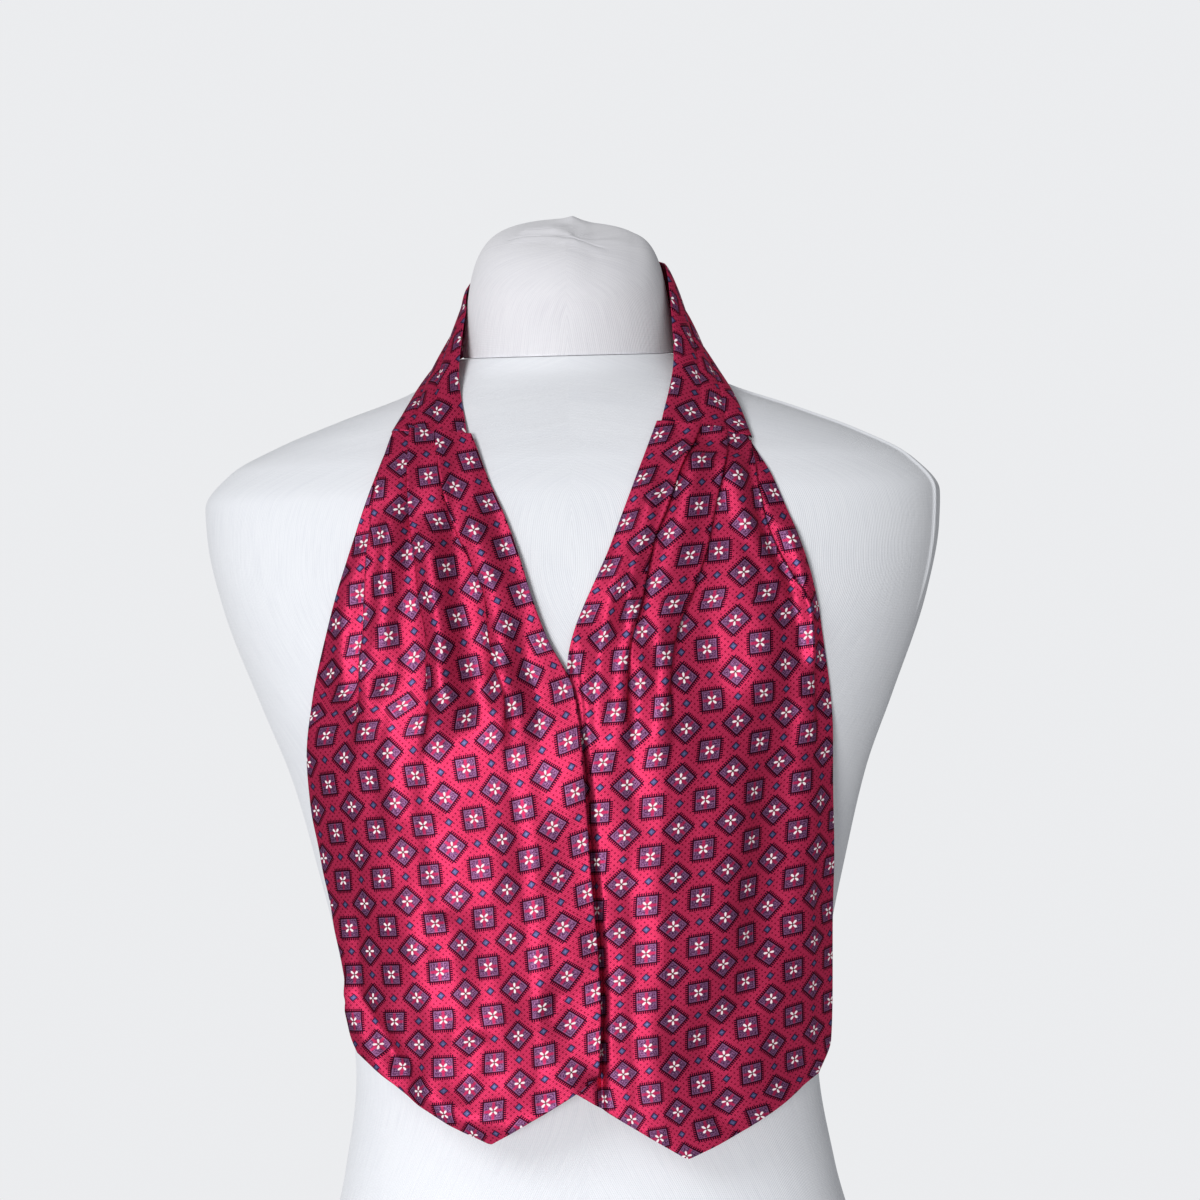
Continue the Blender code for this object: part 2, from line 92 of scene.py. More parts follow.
HANG = (
    HangSection(0.150, 0.1530, -0.1240),
    HangSection(0.220, 0.1550, -0.1260),
    HangSection(0.284, 0.1600, -0.1290),
    HangSection(0.343, 0.1670, -0.1310),
    HangSection(0.390, 0.1760, -0.1315),
    HangSection(CHEST_HEIGHT, 0.1820 + CLOTH_CLEARANCE, -0.1280 - CLOTH_CLEARANCE),
)

# Edges of each apron, as x at heights z
Edge = namedtuple("Edge", "z x")
OVER_OUTER = (Edge(0.244, -0.1220), Edge(0.254, -0.1262), Edge(0.304, -0.1355), Edge(0.348, -0.1440),
              Edge(0.393, -0.1505), Edge(0.438, -0.1450), Edge(0.482, -0.1332), Edge(0.514, -0.1235),
              Edge(0.542, -0.1145), Edge(0.564, -0.1068), Edge(0.586, -0.0985))
OVER_INNER = (Edge(0.233, 0.0070), Edge(0.274, 0.0088), Edge(0.301, 0.0079), Edge(0.344, 0.0053),
              Edge(0.382, 0.0036), Edge(0.417, 0.0018), Edge(0.441, -0.0013), Edge(0.4502, -0.0050),
              Edge(0.4683, -0.0145), Edge(0.4901, -0.0222), Edge(0.5118, -0.0286), Edge(0.5342, -0.0360),
              Edge(0.5570, -0.0456), Edge(0.5815, -0.0545))
UNDER_OUTER = (Edge(0.224, 0.1288), Edge(0.241, 0.1360), Edge(0.291, 0.1384), Edge(0.347, 0.1402),
               Edge(0.414, 0.1404), Edge(0.475, 0.1344), Edge(0.519, 0.1236), Edge(0.553, 0.1116),
               Edge(0.575, 0.1008))
UNDER_INNER = (Edge(0.225, -0.0075), Edge(0.301, -0.0098), Edge(0.382, -0.0066), Edge(0.4546, -0.0037),
               Edge(0.520, 0.0217), Edge(0.587, 0.0487))

# Where each pleat's folded edge lies, from 0 at the apron's outer edge to 1 at its inner edge
PleatLine = namedtuple("PleatLine", "z outer middle inner")
OVER_PLEATS = (PleatLine(0.360, 0.20, 0.45, 0.76), PleatLine(0.446, 0.20, 0.47, 0.74),
               PleatLine(0.469, 0.197, 0.488, 0.758), PleatLine(0.491, 0.168, 0.451, 0.776),
               PleatLine(0.512, 0.136, 0.418, 0.721), PleatLine(0.530, 0.10, 0.369, 0.654),
               PleatLine(0.550, 0.054, 0.326, 0.608), PleatLine(0.580, 0.017, 0.262, 0.57))
UNDER_PLEATS = (PleatLine(0.360, 0.09, 0.66, 0.79), PleatLine(0.446, 0.06, 0.61, 0.765),
                PleatLine(0.478, 0.05, 0.58, 0.76), PleatLine(0.499, 0.095, 0.54, 0.775),
                PleatLine(0.518, 0.14, 0.50, 0.785), PleatLine(0.535, 0.16, 0.47, 0.75),
                PleatLine(0.551, 0.15, 0.42, 0.72), PleatLine(0.580, 0.04, 0.28, 0.56))

# How far the thread line has drifted from the inner edge, and down the cloth, at heights z
Grain = namedtuple("Grain", "z across")
OVER_GRAIN = (Grain(0.250, 0.0102), Grain(0.2765, 0.0091), Grain(0.3306, 0.0088), Grain(0.358, 0.0080),
              Grain(0.386, 0.0064), Grain(0.4145, 0.0045), Grain(0.4686, 0.0073), Grain(0.519, 0.0052),
              Grain(0.5665, 0.0050))
UNDER_GRAIN = (Grain(0.274, 0.0112), Grain(0.390, 0.0095), Grain(0.4546, 0.0), Grain(0.580, -0.0020))

# How the repeat lies on the cloth, in repeats: where it starts, and how the weft stretches and slants
PrintLie = namedtuple("PrintLie", "across down stretch stretch_growth slant slant_growth")
OVER_LIE = PrintLie(-0.39, -0.63, 0.934, 0.0057, -0.168, 0.0027)
UNDER_LIE = PrintLie(-0.07, -0.325, 0.918, 0.0073, 0.192, 0.0062)

Apron = namedtuple("Apron", "name outer inner pleats grain seam_outer seam_inner hem_outer hem_tip "
                            "hem_inner tip_place hem_bulge notch lift shares print_lie")
OVER = Apron("apron_over_silk", OVER_OUTER, OVER_INNER, OVER_PLEATS, OVER_GRAIN, 0.5845, 0.5815,
             0.2440, 0.1970, 0.2335, 0.545, 0.0035, 0.06, OVERLAP_LIFT, (0.28, 0.34, 0.38), OVER_LIE)
UNDER = Apron("apron_under_silk", UNDER_OUTER, UNDER_INNER, UNDER_PLEATS, UNDER_GRAIN, 0.5760, 0.5870,
              0.2240, 0.1855, 0.2250, 0.548, 0.0030, 0.05, 0.0, (0.32, 0.34, 0.34), UNDER_LIE)
PLEATS_OPEN_BELOW = 0.455
PLEATS_GONE_BELOW = 0.400
LEAST_GAP = 0.0009          # from the torso to the middle of the cloth
LEAST_PLEAT = 0.00003
PRESSED_PLEAT = 0.020
LONGEST_OPEN_PLEAT = 0.009
WIDEST_TURN = 0.0045
SETTLE_LENGTH = 0.013
PLEAT_MARGIN = 0.0015
CUT_TAPER = 0.14
ROW_CROWDING = 1.2
THREAD_CURVE = 3            # the weft threads' curve across an apron is a cubic at most
APRON_ROWS = 190
TURN_POINTS = 9
STRIP_POINTS = (26, 34, 34, 36)  # between the outer edge, the three pleats and the inner edge

# Soft creases. Points are x and z on the aprons' sheet; a height below 0 is a trough
Crease = namedtuple("Crease", "points half_width height")
OVER_CREASES = (
    Crease(((-0.0792, 0.5380), (-0.0739, 0.4963), (-0.0669, 0.4480), (-0.0622, 0.4149)), 0.0080, 0.0056),
    Crease(((-0.0563, 0.5448), (-0.0434, 0.4959), (-0.0389, 0.4634), (-0.0405, 0.4257)), 0.0074, 0.0042),
    Crease(((-0.0961, 0.5458), (-0.0979, 0.5135), (-0.1008, 0.4751), (-0.0989, 0.4389)), 0.0068, 0.0036),
    Crease(((-0.1085, 0.5300), (-0.1212, 0.4980), (-0.1268, 0.4657), (-0.1267, 0.4279)), 0.0062, 0.0028),
    Crease(((-0.1000, 0.2340), (-0.0700, 0.2130), (-0.0400, 0.2090), (-0.0150, 0.2170), (0.0100, 0.2340)),
           0.0130, 0.0078),
    Crease(((-0.0760, 0.3250), (-0.0720, 0.2900), (-0.0660, 0.2560)), 0.0100, -0.0030),
    Crease(((-0.0990, 0.4435), (-0.1021, 0.4058), (-0.1011, 0.3626)), 0.0075, 0.0024),
    Crease(((-0.0125, 0.2821), (-0.0211, 0.2624)), 0.0045, -0.0012),
    Crease(((-0.0563, 0.2590), (-0.0693, 0.2161)), 0.0090, -0.0022),
    Crease(((-0.0693, 0.3834), (-0.0680, 0.3294), (-0.0614, 0.2699)), 0.0140, -0.0020),
    Crease(((-0.0283, 0.4039), (-0.0265, 0.3283), (-0.0268, 0.2528)), 0.0150, 0.0018),
    Crease(((-0.1250, 0.3300), (-0.1240, 0.2900), (-0.1233, 0.2747), (-0.1114, 0.2566), (-0.1042, 0.2435),
            (-0.0927, 0.2297)), 0.0045, -0.0022),
)
UNDER_CREASES = (
    Crease(((0.0480, 0.5560), (0.0380, 0.5200), (0.0300, 0.4900), (0.0270, 0.4600)), 0.0052, 0.0030),
    Crease(((0.0730, 0.5800), (0.0634, 0.5497), (0.0562, 0.5225), (0.0500, 0.5048), (0.0420, 0.4772),
            (0.0380, 0.4450)), 0.0088, 0.0064),
    Crease(((0.0890, 0.5800), (0.0900, 0.5400), (0.0940, 0.5120), (0.0985, 0.4900), (0.1020, 0.4650),
            (0.1040, 0.4200)), 0.0170, 0.0054),
    Crease(((0.0960, 0.5763), (0.1005, 0.5395), (0.1090, 0.5122), (0.1170, 0.4940), (0.1215, 0.4700),
            (0.1225, 0.4400)), 0.0048, -0.0042),
    Crease(((0.1140, 0.5340), (0.1225, 0.5080), (0.1275, 0.4800), (0.1280, 0.4450)), 0.0048, 0.0042),
    Crease(((0.0940, 0.4150), (0.0880, 0.3700), (0.0800, 0.3250), (0.0740, 0.2850)), 0.0140, 0.0022),
    Crease(((0.1219, 0.4324), (0.1227, 0.3784), (0.1196, 0.3245), (0.1169, 0.2814)), 0.0090, 0.0016),
    Crease(((0.1197, 0.4518), (0.1098, 0.4219), (0.1049, 0.3789), (0.1011, 0.3358), (0.0979, 0.2981),
            (0.0885, 0.2687), (0.0648, 0.2466), (0.0359, 0.2382)), 0.0130, -0.0050),
    Crease(((0.0679, 0.4715), (0.0707, 0.4553), (0.0669, 0.4338)), 0.0070, -0.0008),
    Crease(((0.0455, 0.4397), (0.0483, 0.3803), (0.0436, 0.3265), (0.0455, 0.2725)), 0.0130, 0.0014),
    Crease(((0.0695, 0.2017), (0.0732, 0.2178)), 0.0070, -0.0018),
    Crease(((-0.0008, 0.4700), (0.0004, 0.4410), (0.0052, 0.3820), (0.0070, 0.3440), (0.0096, 0.3010),
            (0.0104, 0.2740), (0.0088, 0.2330), (0.0082, 0.1950)), 0.0022, -0.0060),
)
# The over apron's lower outer strip curls forward beyond this line
CURL_LINE = ((-0.1235, 0.2850), (-0.1233, 0.2747), (-0.1114, 0.2566), (-0.1042, 0.2435), (-0.0927, 0.2297),
             (-0.0850, 0.2200))
CURL_HEIGHT = 0.0050
CURL_WIDTH = 0.0100

# Edges of the band from the back of the neck to each end, on the viewer's right and left
BandStation = namedtuple("BandStation", "top low")
BAND_RIGHT = (
    BandStation((0.000, 0.0625, 0.694), (0.000, 0.0690, 0.647)),
    BandStation((0.0430, 0.0430, 0.692), (0.048, 0.0510, 0.644)),
    BandStation((0.0550, 0.0200, 0.688), (0.068, 0.0220, 0.637)),
    BandStation((0.0585, -0.0030, 0.680), (0.079, -0.0040, 0.627)),
    BandStation((0.0600, -0.0280, 0.651), (0.088, -0.0300, 0.614)),
    BandStation((0.0595, -0.0500, 0.620), (0.0945, -0.0550, 0.600)),
)
BAND_LEFT = (
    BandStation((0.000, 0.0625, 0.694), (0.000, 0.0690, 0.647)),
    BandStation((0.0430, 0.0430, 0.690), (0.048, 0.0510, 0.643)),
    BandStation((0.0550, 0.0200, 0.681), (0.0655, 0.0220, 0.634)),
    BandStation((0.0578, -0.0030, 0.668), (0.0750, -0.0040, 0.6245)),
    BandStation((0.0608, -0.0280, 0.645), (0.0860, -0.0300, 0.6115)),
    BandStation((0.0625, -0.0500, 0.617), (0.0925, -0.0550, 0.599)),
)
BAND_PANELS = (0.0, 0.42, 0.73, 1.0)
BAND_PUFF = 0.0016
BAND_STEPS = 110
PANEL_STRIPS = 11

# The printed repeat
REPEAT_ACROSS = 0.0289
REPEAT_DOWN = 0.0282

# The form
RING_POINTS = 200
CAP_RIM = 0.690
CAP_TOP = 0.7128
CAP_RINGS = 120
CAP_SLANT = 0.36            # the neck's top is higher behind
CAP_SLANT_BEHIND = 0.31
CAP_LEVEL_AT = 0.012
CAP_DROOP = 0.0022          # and lower on the viewer's right
KNOT_PLACE = (0.0040, -0.0262)
KNOT_RADIUS = 0.0036
KNOT_HEIGHT = 0.0006
GATHER_HEIGHT = 0.0007
GATHER_REACH = 0.050
GATHERS = 7
LONG_FOLD = ((-0.0370, -0.0150), (-0.0200, -0.0180), (-0.0060, -0.0225), (0.0035, -0.0270), (0.0140, -0.0300),
             (0.0270, -0.0325))
SHORT_FOLD = ((-0.0260, -0.0020), (-0.0140, -0.0070), (0.0010, -0.0100))
FOLD_RISE = 0.0001
FOLD_GROOVE = 0.0016
FOLD_GROOVE_WIDTH = 0.0008
FOLD_SWELL = 0.0015
PEAK_HEIGHT = 0.0026
PEAK_HALF_WIDTH = 0.0060
SEAM_ROUNDING = 0.0016      # where the neck is sewn to the torso
SEAM_DEPTH = 0.0005
SEAM_TILT = 0.085           # the neck's seam is lower in front
SEAM_TILT_REACH = 0.028
SHOULDER_SEAMS = (math.radians(-15), math.radians(174))
WELT_HEIGHT = 0.0014
WELT_HALF_WIDTH = 0.0016


def blended_slope(before, after, step_before, step_after):
    """A slope that never lets the curve swing past its points."""
    if before * after <= 0:
        return 0.0
    weight_before = step_before + 2 * step_after
    weight_after = 2 * step_before + step_after
    return (weight_before + weight_after) / (weight_before / before + weight_after / after)


def read(table, column, z):
    """A smooth curve through one column of a table, level past its ends."""
    heights = np.array([row.z for row in table])
    values = np.array([getattr(row, column) for row in table])
    steps = np.diff(heights)
    rises = np.diff(values) / steps
    inner = [blended_slope(*four) for four in zip(rises, rises[1:], steps, steps[1:])]
    slopes = np.array([rises[0]] + inner + [rises[-1]])
    z = np.clip(z, heights[0], heights[-1])
    i = np.clip(np.searchsorted(heights, z, side="right") - 1, 0, len(steps) - 1)
    t = (z - heights[i]) / steps[i]
    start = (1 + 2 * t) * (1 - t) ** 2 * values[i] + t * (1 - t) ** 2 * steps[i] * slopes[i]
    end = t * t * (3 - 2 * t) * values[i + 1] + t * t * (t - 1) * steps[i] * slopes[i + 1]
    return start + end


def ease(low, high, value):
    """From 0 at low to 1 at high, level at both ends."""
    t = np.clip((value - low) / (high - low), 0.0, 1.0)
    return t * t * (3 - 2 * t)


def unit(vectors):
    return vectors / np.maximum(np.linalg.norm(vectors, axis=-1, keepdims=True), 1e-12)


def hang_point(x, z):
    """The point at x and z of the sheet on which the aprons lie."""
    x, z = np.broadcast_arrays(np.asarray(x, float), np.asarray(z, float))
    torso_z = np.maximum(z, CHEST_HEIGHT)
    front = read(TORSO, "front", torso_z)
    power = read(TORSO, "squareness", torso_z)
    middle = (front + read(TORSO, "back", torso_z)) / 2
    on_chest = z >= CHEST_HEIGHT
    half_width = np.where(on_chest, read(TORSO, "half_width", z) + CLOTH_CLEARANCE,
                          read(HANG, "half_width", z))
    reach = middle - np.where(on_chest, front - CLOTH_CLEARANCE, read(HANG, "front", z))
    across = np.minimum(np.abs(x) / half_width, 0.999)
    return np.stack([x, middle - reach * (1 - across ** power) ** (1 / power), z], axis=-1)


def torso_front(x, z):
    """Depth of the torso's front surface at x and z."""
    front = read(TORSO, "front", z)
    power = read(TORSO, "squareness", z)
    middle = (front + read(TORSO, "back", z)) / 2
    across = np.minimum(np.abs(x) / read(TORSO, "half_width", z), 0.999)
    return middle - (middle - front) * (1 - across ** power) ** (1 / power)


def above_torso(lift, x, z):
    """Lets troughs sink into the sheet only as far as the torso behind it leaves room."""
    room = torso_front(x, z) - hang_point(x, z)[..., 1] - LEAST_GAP
    return np.where(lift < 0, -room * (1 - np.exp(np.minimum(lift, 0) / room)), lift)


def hang_normal(x, z):
    small = 0.002
    along_x = hang_point(x + small, z) - hang_point(x - small, z)
    along_z = hang_point(x, z + small) - hang_point(x, z - small)
    return unit(np.cross(along_x, along_z))


def hem_line(apron, f):
    """The pointed hem, from 0 at the outer corner to 1 at the inner corner."""
    straight = np.interp(f, (0, apron.tip_place, 1), (apron.hem_outer, apron.hem_tip, apron.hem_inner))
    return straight - apron.hem_bulge * np.sin(math.pi * np.clip(f / apron.tip_place, 0, 1))


def row_height(apron, t, f):
    """Height of a row, from the seam at t = 0 to the hem at t = 1."""
    seam = apron.seam_outer + (apron.seam_inner - apron.seam_outer) * f
    seam_middle = (apron.seam_outer + apron.seam_inner) / 2
    hem_middle = (apron.hem_outer + apron.hem_inner) / 2 - 0.02
    level = seam_middle + (hem_middle - seam_middle) * t
    near_seam = 1 - ease(0.0, 0.25, t)
    near_hem = ease(0.45, 1.0, t)
    return level + near_seam * (seam - seam_middle) + near_hem * (hem_line(apron, f) - hem_middle)


def base_line(apron, t):
    """A row's line on the hanging sheet: distance from the outer edge, x and height."""
    outer = read(apron.outer, "x", row_height(apron, t, 0))
    inner = read(apron.inner, "x", row_height(apron, t, 1))
    f = np.linspace(0, 1, 61)
    points = hang_point(outer + (inner - outer) * f, row_height(apron, t, f))
    steps = np.hypot(np.diff(points[:, 0]), np.diff(points[:, 1]))
    return np.concatenate([[0], np.cumsum(steps)]), points[:, 0], points[:, 2]


def along(line, distance):
    """Position x and height z at distances along a base line, straight on past its ends."""
    distances, xs, zs = line
    i = np.clip(np.searchsorted(distances, distance) - 1, 0, len(distances) - 2)
    share = (distance - distances[i]) / (distances[i + 1] - distances[i])
    return xs[i] + (xs[i + 1] - xs[i]) * share, zs[i] + (zs[i + 1] - zs[i]) * share


def flat_width(apron):
    return max(base_line(apron, i / 30)[0][-1] for i in range(31)) + 0.0005


def solve(excess):
    """The angle from 0 to a half turn at which a rising function is zero."""
    low, high = 0.001, math.pi
    for _ in range(50):
        middle = (low + high) / 2
        if excess(middle) < 0:
            low = middle
        else:
            high = middle
    return (low + high) / 2


def pleat_shape(taken):
    """Radius, angle and flat length of a pleat that takes up this much cloth."""
    openness = max(0.0, 1 - taken / PRESSED_PLEAT)
    radius = FOLD_RADIUS + (WIDEST_TURN - FOLD_RADIUS) * openness ** 4
    if taken >= 2 * math.pi * radius:
        return radius, math.pi, taken / 2 - math.pi * radius
    angle = solve(lambda a: 2 * radius * (a - math.sin(a)) - taken)
    if 2 * radius * angle < LONGEST_OPEN_PLEAT:
        angle = solve(lambda a: LONGEST_OPEN_PLEAT * (1 - math.sin(a) / a) - taken)
        radius = LONGEST_OPEN_PLEAT / (2 * angle)
    return radius, angle, 0.0


def pleat_points(start, level, shape):
    """The two turns of one pleat in section, from its lower layer to its upper layer."""
    radius, angle, flat = shape
    turn = [angle * i / (TURN_POINTS - 0.5) for i in range(TURN_POINTS)]
    points = [(start + radius * math.sin(a), level + radius * (1 - math.cos(a))) for a in turn]
    end_x = start + 2 * radius * math.sin(angle) + flat * math.cos(angle)
    end_level = level + 2 * radius * (1 - math.cos(angle)) + flat * math.sin(angle)
    points.append(((start + end_x) / 2, (level + end_level) / 2))
    for a in reversed(turn):
        points.append((end_x - radius * math.sin(a), end_level - radius * (1 - math.cos(a))))
    return points


def pleat_start(radius, angle, flat):
    """Where the lower turn starts, measured from the place of the pleat's edge."""
    if angle > math.pi / 2:
        return flat + radius - radius * math.sin(angle)
    return -radius * math.sin(angle) * (1 - 2 * angle / math.pi)


def strip(start, end, level, count):
    return [(x, level) for x in np.linspace(start, end, count + 2)[1:-1]]


def apron_section(apron, t, width, length):
    """One row of the apron: distance along its base line and height above the sheet."""
    z = row_height(apron, t, 0.5)
    cut_width = width * (1 - CUT_TAPER * ease(PLEATS_GONE_BELOW, apron.seam_inner, z))
    slack = max(0.0, cut_width - length) * ease(PLEATS_GONE_BELOW, PLEATS_OPEN_BELOW, z)
    shapes = [pleat_shape(max(share * slack, LEAST_PLEAT)) for share in apron.shares]
    edges = [read(apron.pleats, column, z) * length for column in ("outer", "middle", "inner")]
    starts = [edge + pleat_start(*shape) for edge, shape in zip(edges, shapes)]
    ends = starts[1:] + [length]
    points = [(0.0, 0.0)] + strip(0.0, starts[0], 0.0, STRIP_POINTS[0])
    level = 0.0
    drops = []
    for start, end, shape, count in zip(starts, ends, shapes, STRIP_POINTS[1:]):
        radius, angle, flat = shape
        points += pleat_points(start, level, shape)
        rise = 2 * radius * (1 - math.cos(angle))
        level += rise
        place = start + 2 * radius * math.sin(min(angle, math.pi / 2)) + PLEAT_MARGIN
        drops.append((place, rise))
        points += strip(points[-1][0], end, level, count)
    points.append((length, level))
    x, h = np.array(points).T
    for place, rise in drops:
        h = h - rise * ease(place, place + SETTLE_LENGTH, x)
    return x, h


def near_line(points, x, z):
    """Distance from a line of points, on which side, and how far along it from 0 to 1."""
    lengths = [math.dist(a, b) for a, b in zip(points, points[1:])]
    best = np.full(x.shape, np.inf)
    side = np.zeros(x.shape)
    share = np.zeros(x.shape)
    done = 0.0
    for (ax, az), (bx, bz), length in zip(points, points[1:], lengths):
        dx, dz = (bx - ax) / length, (bz - az) / length
        run = np.clip((x - ax) * dx + (z - az) * dz, 0, length)
        distance = np.hypot(x - ax - run * dx, z - az - run * dz)
        closer = distance < best
        best = np.where(closer, distance, best)
        side = np.where(closer, np.sign((x - ax) * dz - (z - az) * dx), side)
        share = np.where(closer, (done + run) / sum(lengths), share)
        done += length
    return best, side, share


def crease_height(creases, x, z):
    total = np.zeros(x.shape)
    for crease in creases:
        distance, side, share = near_line(crease.points, x, z)
        fade = ease(0.0, 0.16, share) * (1 - ease(0.84, 1.0, share))
        total += crease.height * np.exp(-(distance / crease.half_width) ** 2) * fade
    return total


def soft_waves(x, z, seed):
    """Slight unevenness of hand-pressed silk, from a few crossing waves."""
    turns = np.random.default_rng(seed)
    total = np.zeros(x.shape)
    for _ in range(9):
        heading = turns.uniform(-0.7, 0.7)
        length = turns.uniform(0.018, 0.055)
        phase = turns.uniform(0, 2 * math.pi)
        across = x * math.cos(heading) + z * math.sin(heading)
        total += np.sin(2 * math.pi * across / length + phase) * length
    return total * 0.0045


def curl_height(x, z):
    distance, side, share = near_line(CURL_LINE, x, z)
    beyond = np.where(side > 0, distance, 0.0)
    on_strip = 1 - ease(2 * CURL_WIDTH, 3 * CURL_WIDTH, beyond)
    along_line = ease(0.0, 0.2, share) * (1 - ease(0.78, 0.96, share))
    return CURL_HEIGHT * ease(0.0, CURL_WIDTH, beyond) * along_line * on_strip


def thread_lengths(points, u):
    """How far down the cloth each point lies, measured along its own lengthwise thread.

    The length beyond the plain drop in height is smoothed across each row.
    """
    threads = np.arange(u.min(), u.max() + 0.001, 0.0015)
    rows = []
    for row_points, row_u in zip(points, u):
        order = np.argsort(row_u)
        rows.append(np.stack([np.interp(threads, row_u[order], row_points[order, k]) for k in range(3)], -1))
    steps = np.linalg.norm(np.diff(np.array(rows), axis=0), axis=-1)
    down = np.vstack([np.zeros(len(threads)), np.cumsum(steps, axis=0)])
    beyond_drop = down + np.array(rows)[..., 2]
    curves = [np.polyfit(threads, row_beyond, THREAD_CURVE) for row_beyond in beyond_drop]
    return np.array([np.polyval(curve, row_u) for curve, row_u in zip(curves, u)]) - points[..., 2]


def print_place(lie, across, down):
    """Place in the printed pattern of points given by their place on the flat cloth."""
    a = across / REPEAT_ACROSS
    d = down / REPEAT_DOWN
    along_weft = a * (lie.slant + lie.slant_growth * d)
    placed = lie.down + d * (lie.stretch + lie.stretch_growth * d) + along_weft
    return np.stack([(a + lie.across) * REPEAT_ACROSS, placed * REPEAT_DOWN], axis=-1)


def apron_surface(apron, creases, seed):
    """Middle of the apron's cloth, and each point's place on the flat cloth."""
    width = flat_width(apron)
    points, across = [], []
    for j in range(APRON_ROWS):
        t = (j / (APRON_ROWS - 1)) ** ROW_CROWDING
        line = base_line(apron, t)
        distance, height = apron_section(apron, t, width, line[0][-1])
        x, z = along(line, distance)
        lift = height + apron.lift * ease(-0.050, -0.022, x)
        pressed = ease(0.0, 0.06, t)
        lift = lift + (crease_height(creases, x, z) + soft_waves(x, z, seed)) * pressed
        if apron is OVER:
            lift = lift + curl_height(x, z)
        lift = above_torso(lift, x, z)
        points.append(hang_point(x, z) + hang_normal(x, z) * lift[:, None])
        steps = np.hypot(*np.diff(points[-1][:, :2], axis=0).T)
        from_inner = np.concatenate([np.cumsum(steps[::-1])[::-1], [0]])
        across.append(from_inner + read(apron.grain, "across", row_height(apron, t, 1.0)))
    points = np.array(points)
    u = np.array(across)
    return points, print_place(apron.print_lie, u, thread_lengths(points, u))


def rounded_edges(points, uv, half_wall):
    """Adds the half-round edges of the cloth: more rows and columns that thin out."""
    wall = np.full(points.shape[:2], half_wall)
    for _ in range(2):
        angles = np.radians([40, 75])
        first = unit(points[:, 0] - points[:, 1])
        last = unit(points[:, -1] - points[:, -2])
        before = [points[:, 0] + first * half_wall * math.sin(a) for a in angles[::-1]]
        after = [points[:, -1] + last * half_wall * math.sin(a) for a in angles]
        thin_before = [wall[:, 0] * math.cos(a) for a in angles[::-1]]
        thin_after = [wall[:, -1] * math.cos(a) for a in angles]
        points = np.concatenate([np.stack(before, 1), points, np.stack(after, 1)], axis=1)
        wall = np.concatenate([np.stack(thin_before, 1), wall, np.stack(thin_after, 1)], axis=1)
        uv = np.concatenate([uv[:, :1], uv[:, :1], uv, uv[:, -1:], uv[:, -1:]], axis=1)
        points, wall, uv = points.swapaxes(0, 1), wall.T, uv.swapaxes(0, 1)
    return points, uv, wall


def grid_normals(points):
    across = np.gradient(points, axis=1)
    down = np.gradient(points, axis=0)
    return unit(np.cross(down, across))


def grid_faces(rows, columns, start=0):
    index = np.arange(rows * columns).reshape(rows, columns) + start
    quads = np.stack([index[:-1, :-1], index[1:, :-1], index[1:, 1:], index[:-1, 1:]], axis=-1)
    return quads.reshape(-1, 4)


def mesh_object(name, vertices, faces, uv=None, reverse=None):
    mesh = bpy.data.meshes.new(name)
    mesh.from_pydata(vertices.tolist(), [], [tuple(face) for face in faces])
    mesh.shade_smooth()
    if uv is not None:
        corners = np.zeros(len(mesh.loops), int)
        mesh.loops.foreach_get("vertex_index", corners)
        layer = mesh.uv_layers.new(name="cloth")
        layer.uv.foreach_set("vector", uv[corners].ravel())
    if reverse is not None:
        attribute = mesh.attributes.new("reverse", "FLOAT", "POINT")
        attribute.data.foreach_set("value", reverse)
    mesh.validate()
    made = bpy.data.objects.new(name, mesh)
    bpy.context.scene.collection.objects.link(made)
    return made


def cloth_shell(name, points, uv, outward):
    """Two faces of silk round a middle surface, closed by half-round edges."""
    points, uv, wall = rounded_edges(points, uv, SILK / 2)
    normals = grid_normals(points)
    middle = normals[normals.shape[0] // 2, normals.shape[1] // 2]
    if middle @ outward < 0:
        normals = -normals
    rows, columns = wall.shape
    count = rows * columns
    front = (points + normals * wall[..., None]).reshape(-1, 3)
    back = (points - normals * wall[..., None]).reshape(-1, 3)
    faces = grid_faces(rows, columns)
    geometry = np.cross(front[faces[:, 1]] - front[faces[:, 0]], front[faces[:, 3]] - front[faces[:, 0]])
    if (geometry * normals.reshape(-1, 3)[faces[:, 0]]).sum() < 0:
        faces = faces[:, ::-1]
    rim_path = np.concatenate([np.arange(columns), np.arange(1, rows) * columns + columns - 1,
                               (rows - 1) * columns + np.arange(columns - 2, -1, -1),
                               np.arange(rows - 2, 0, -1) * columns])
    after = np.roll(rim_path, -1)
    rim = np.stack([rim_path, after, after + count, rim_path + count], axis=-1)
    first = faces[0].tolist()
    place = first.index(0)
    if first[(place + 1) % 4] == 1:
        rim = rim[:, ::-1]
    all_faces = np.concatenate([faces, faces[:, ::-1] + count, rim])
    reverse = np.concatenate([np.zeros(count), np.ones(count)])
    return mesh_object(name, np.concatenate([front, back]), all_faces,
                       np.tile(uv.reshape(-1, 2), (2, 1)), reverse)


def curve_point(four, t):
    """A smooth curve between the second and third of four points."""
    a, b, c, d = four
    return (b * 2 + (c - a) * t + (a * 2 - b * 5 + c * 4 - d) * t ** 2
            + (b * 3 - a - c * 3 + d) * t ** 3) / 2


def seam_point(side, v):
    """A point of the band's end, which follows the top of an apron."""
    apron = UNDER if side > 0 else OVER
    inner_x = float(read(apron.inner, "x", apron.seam_inner))
    outer_x = float(read(apron.outer, "x", apron.seam_outer))
    place = apron.notch + (1 - apron.notch) * v
    x = inner_x + (outer_x - inner_x) * place
    z = apron.seam_inner + (apron.seam_outer - apron.seam_inner) * place + BAND_END_RISE
    return hang_point(x, z) + hang_normal(x, z) * BAND_LIFT


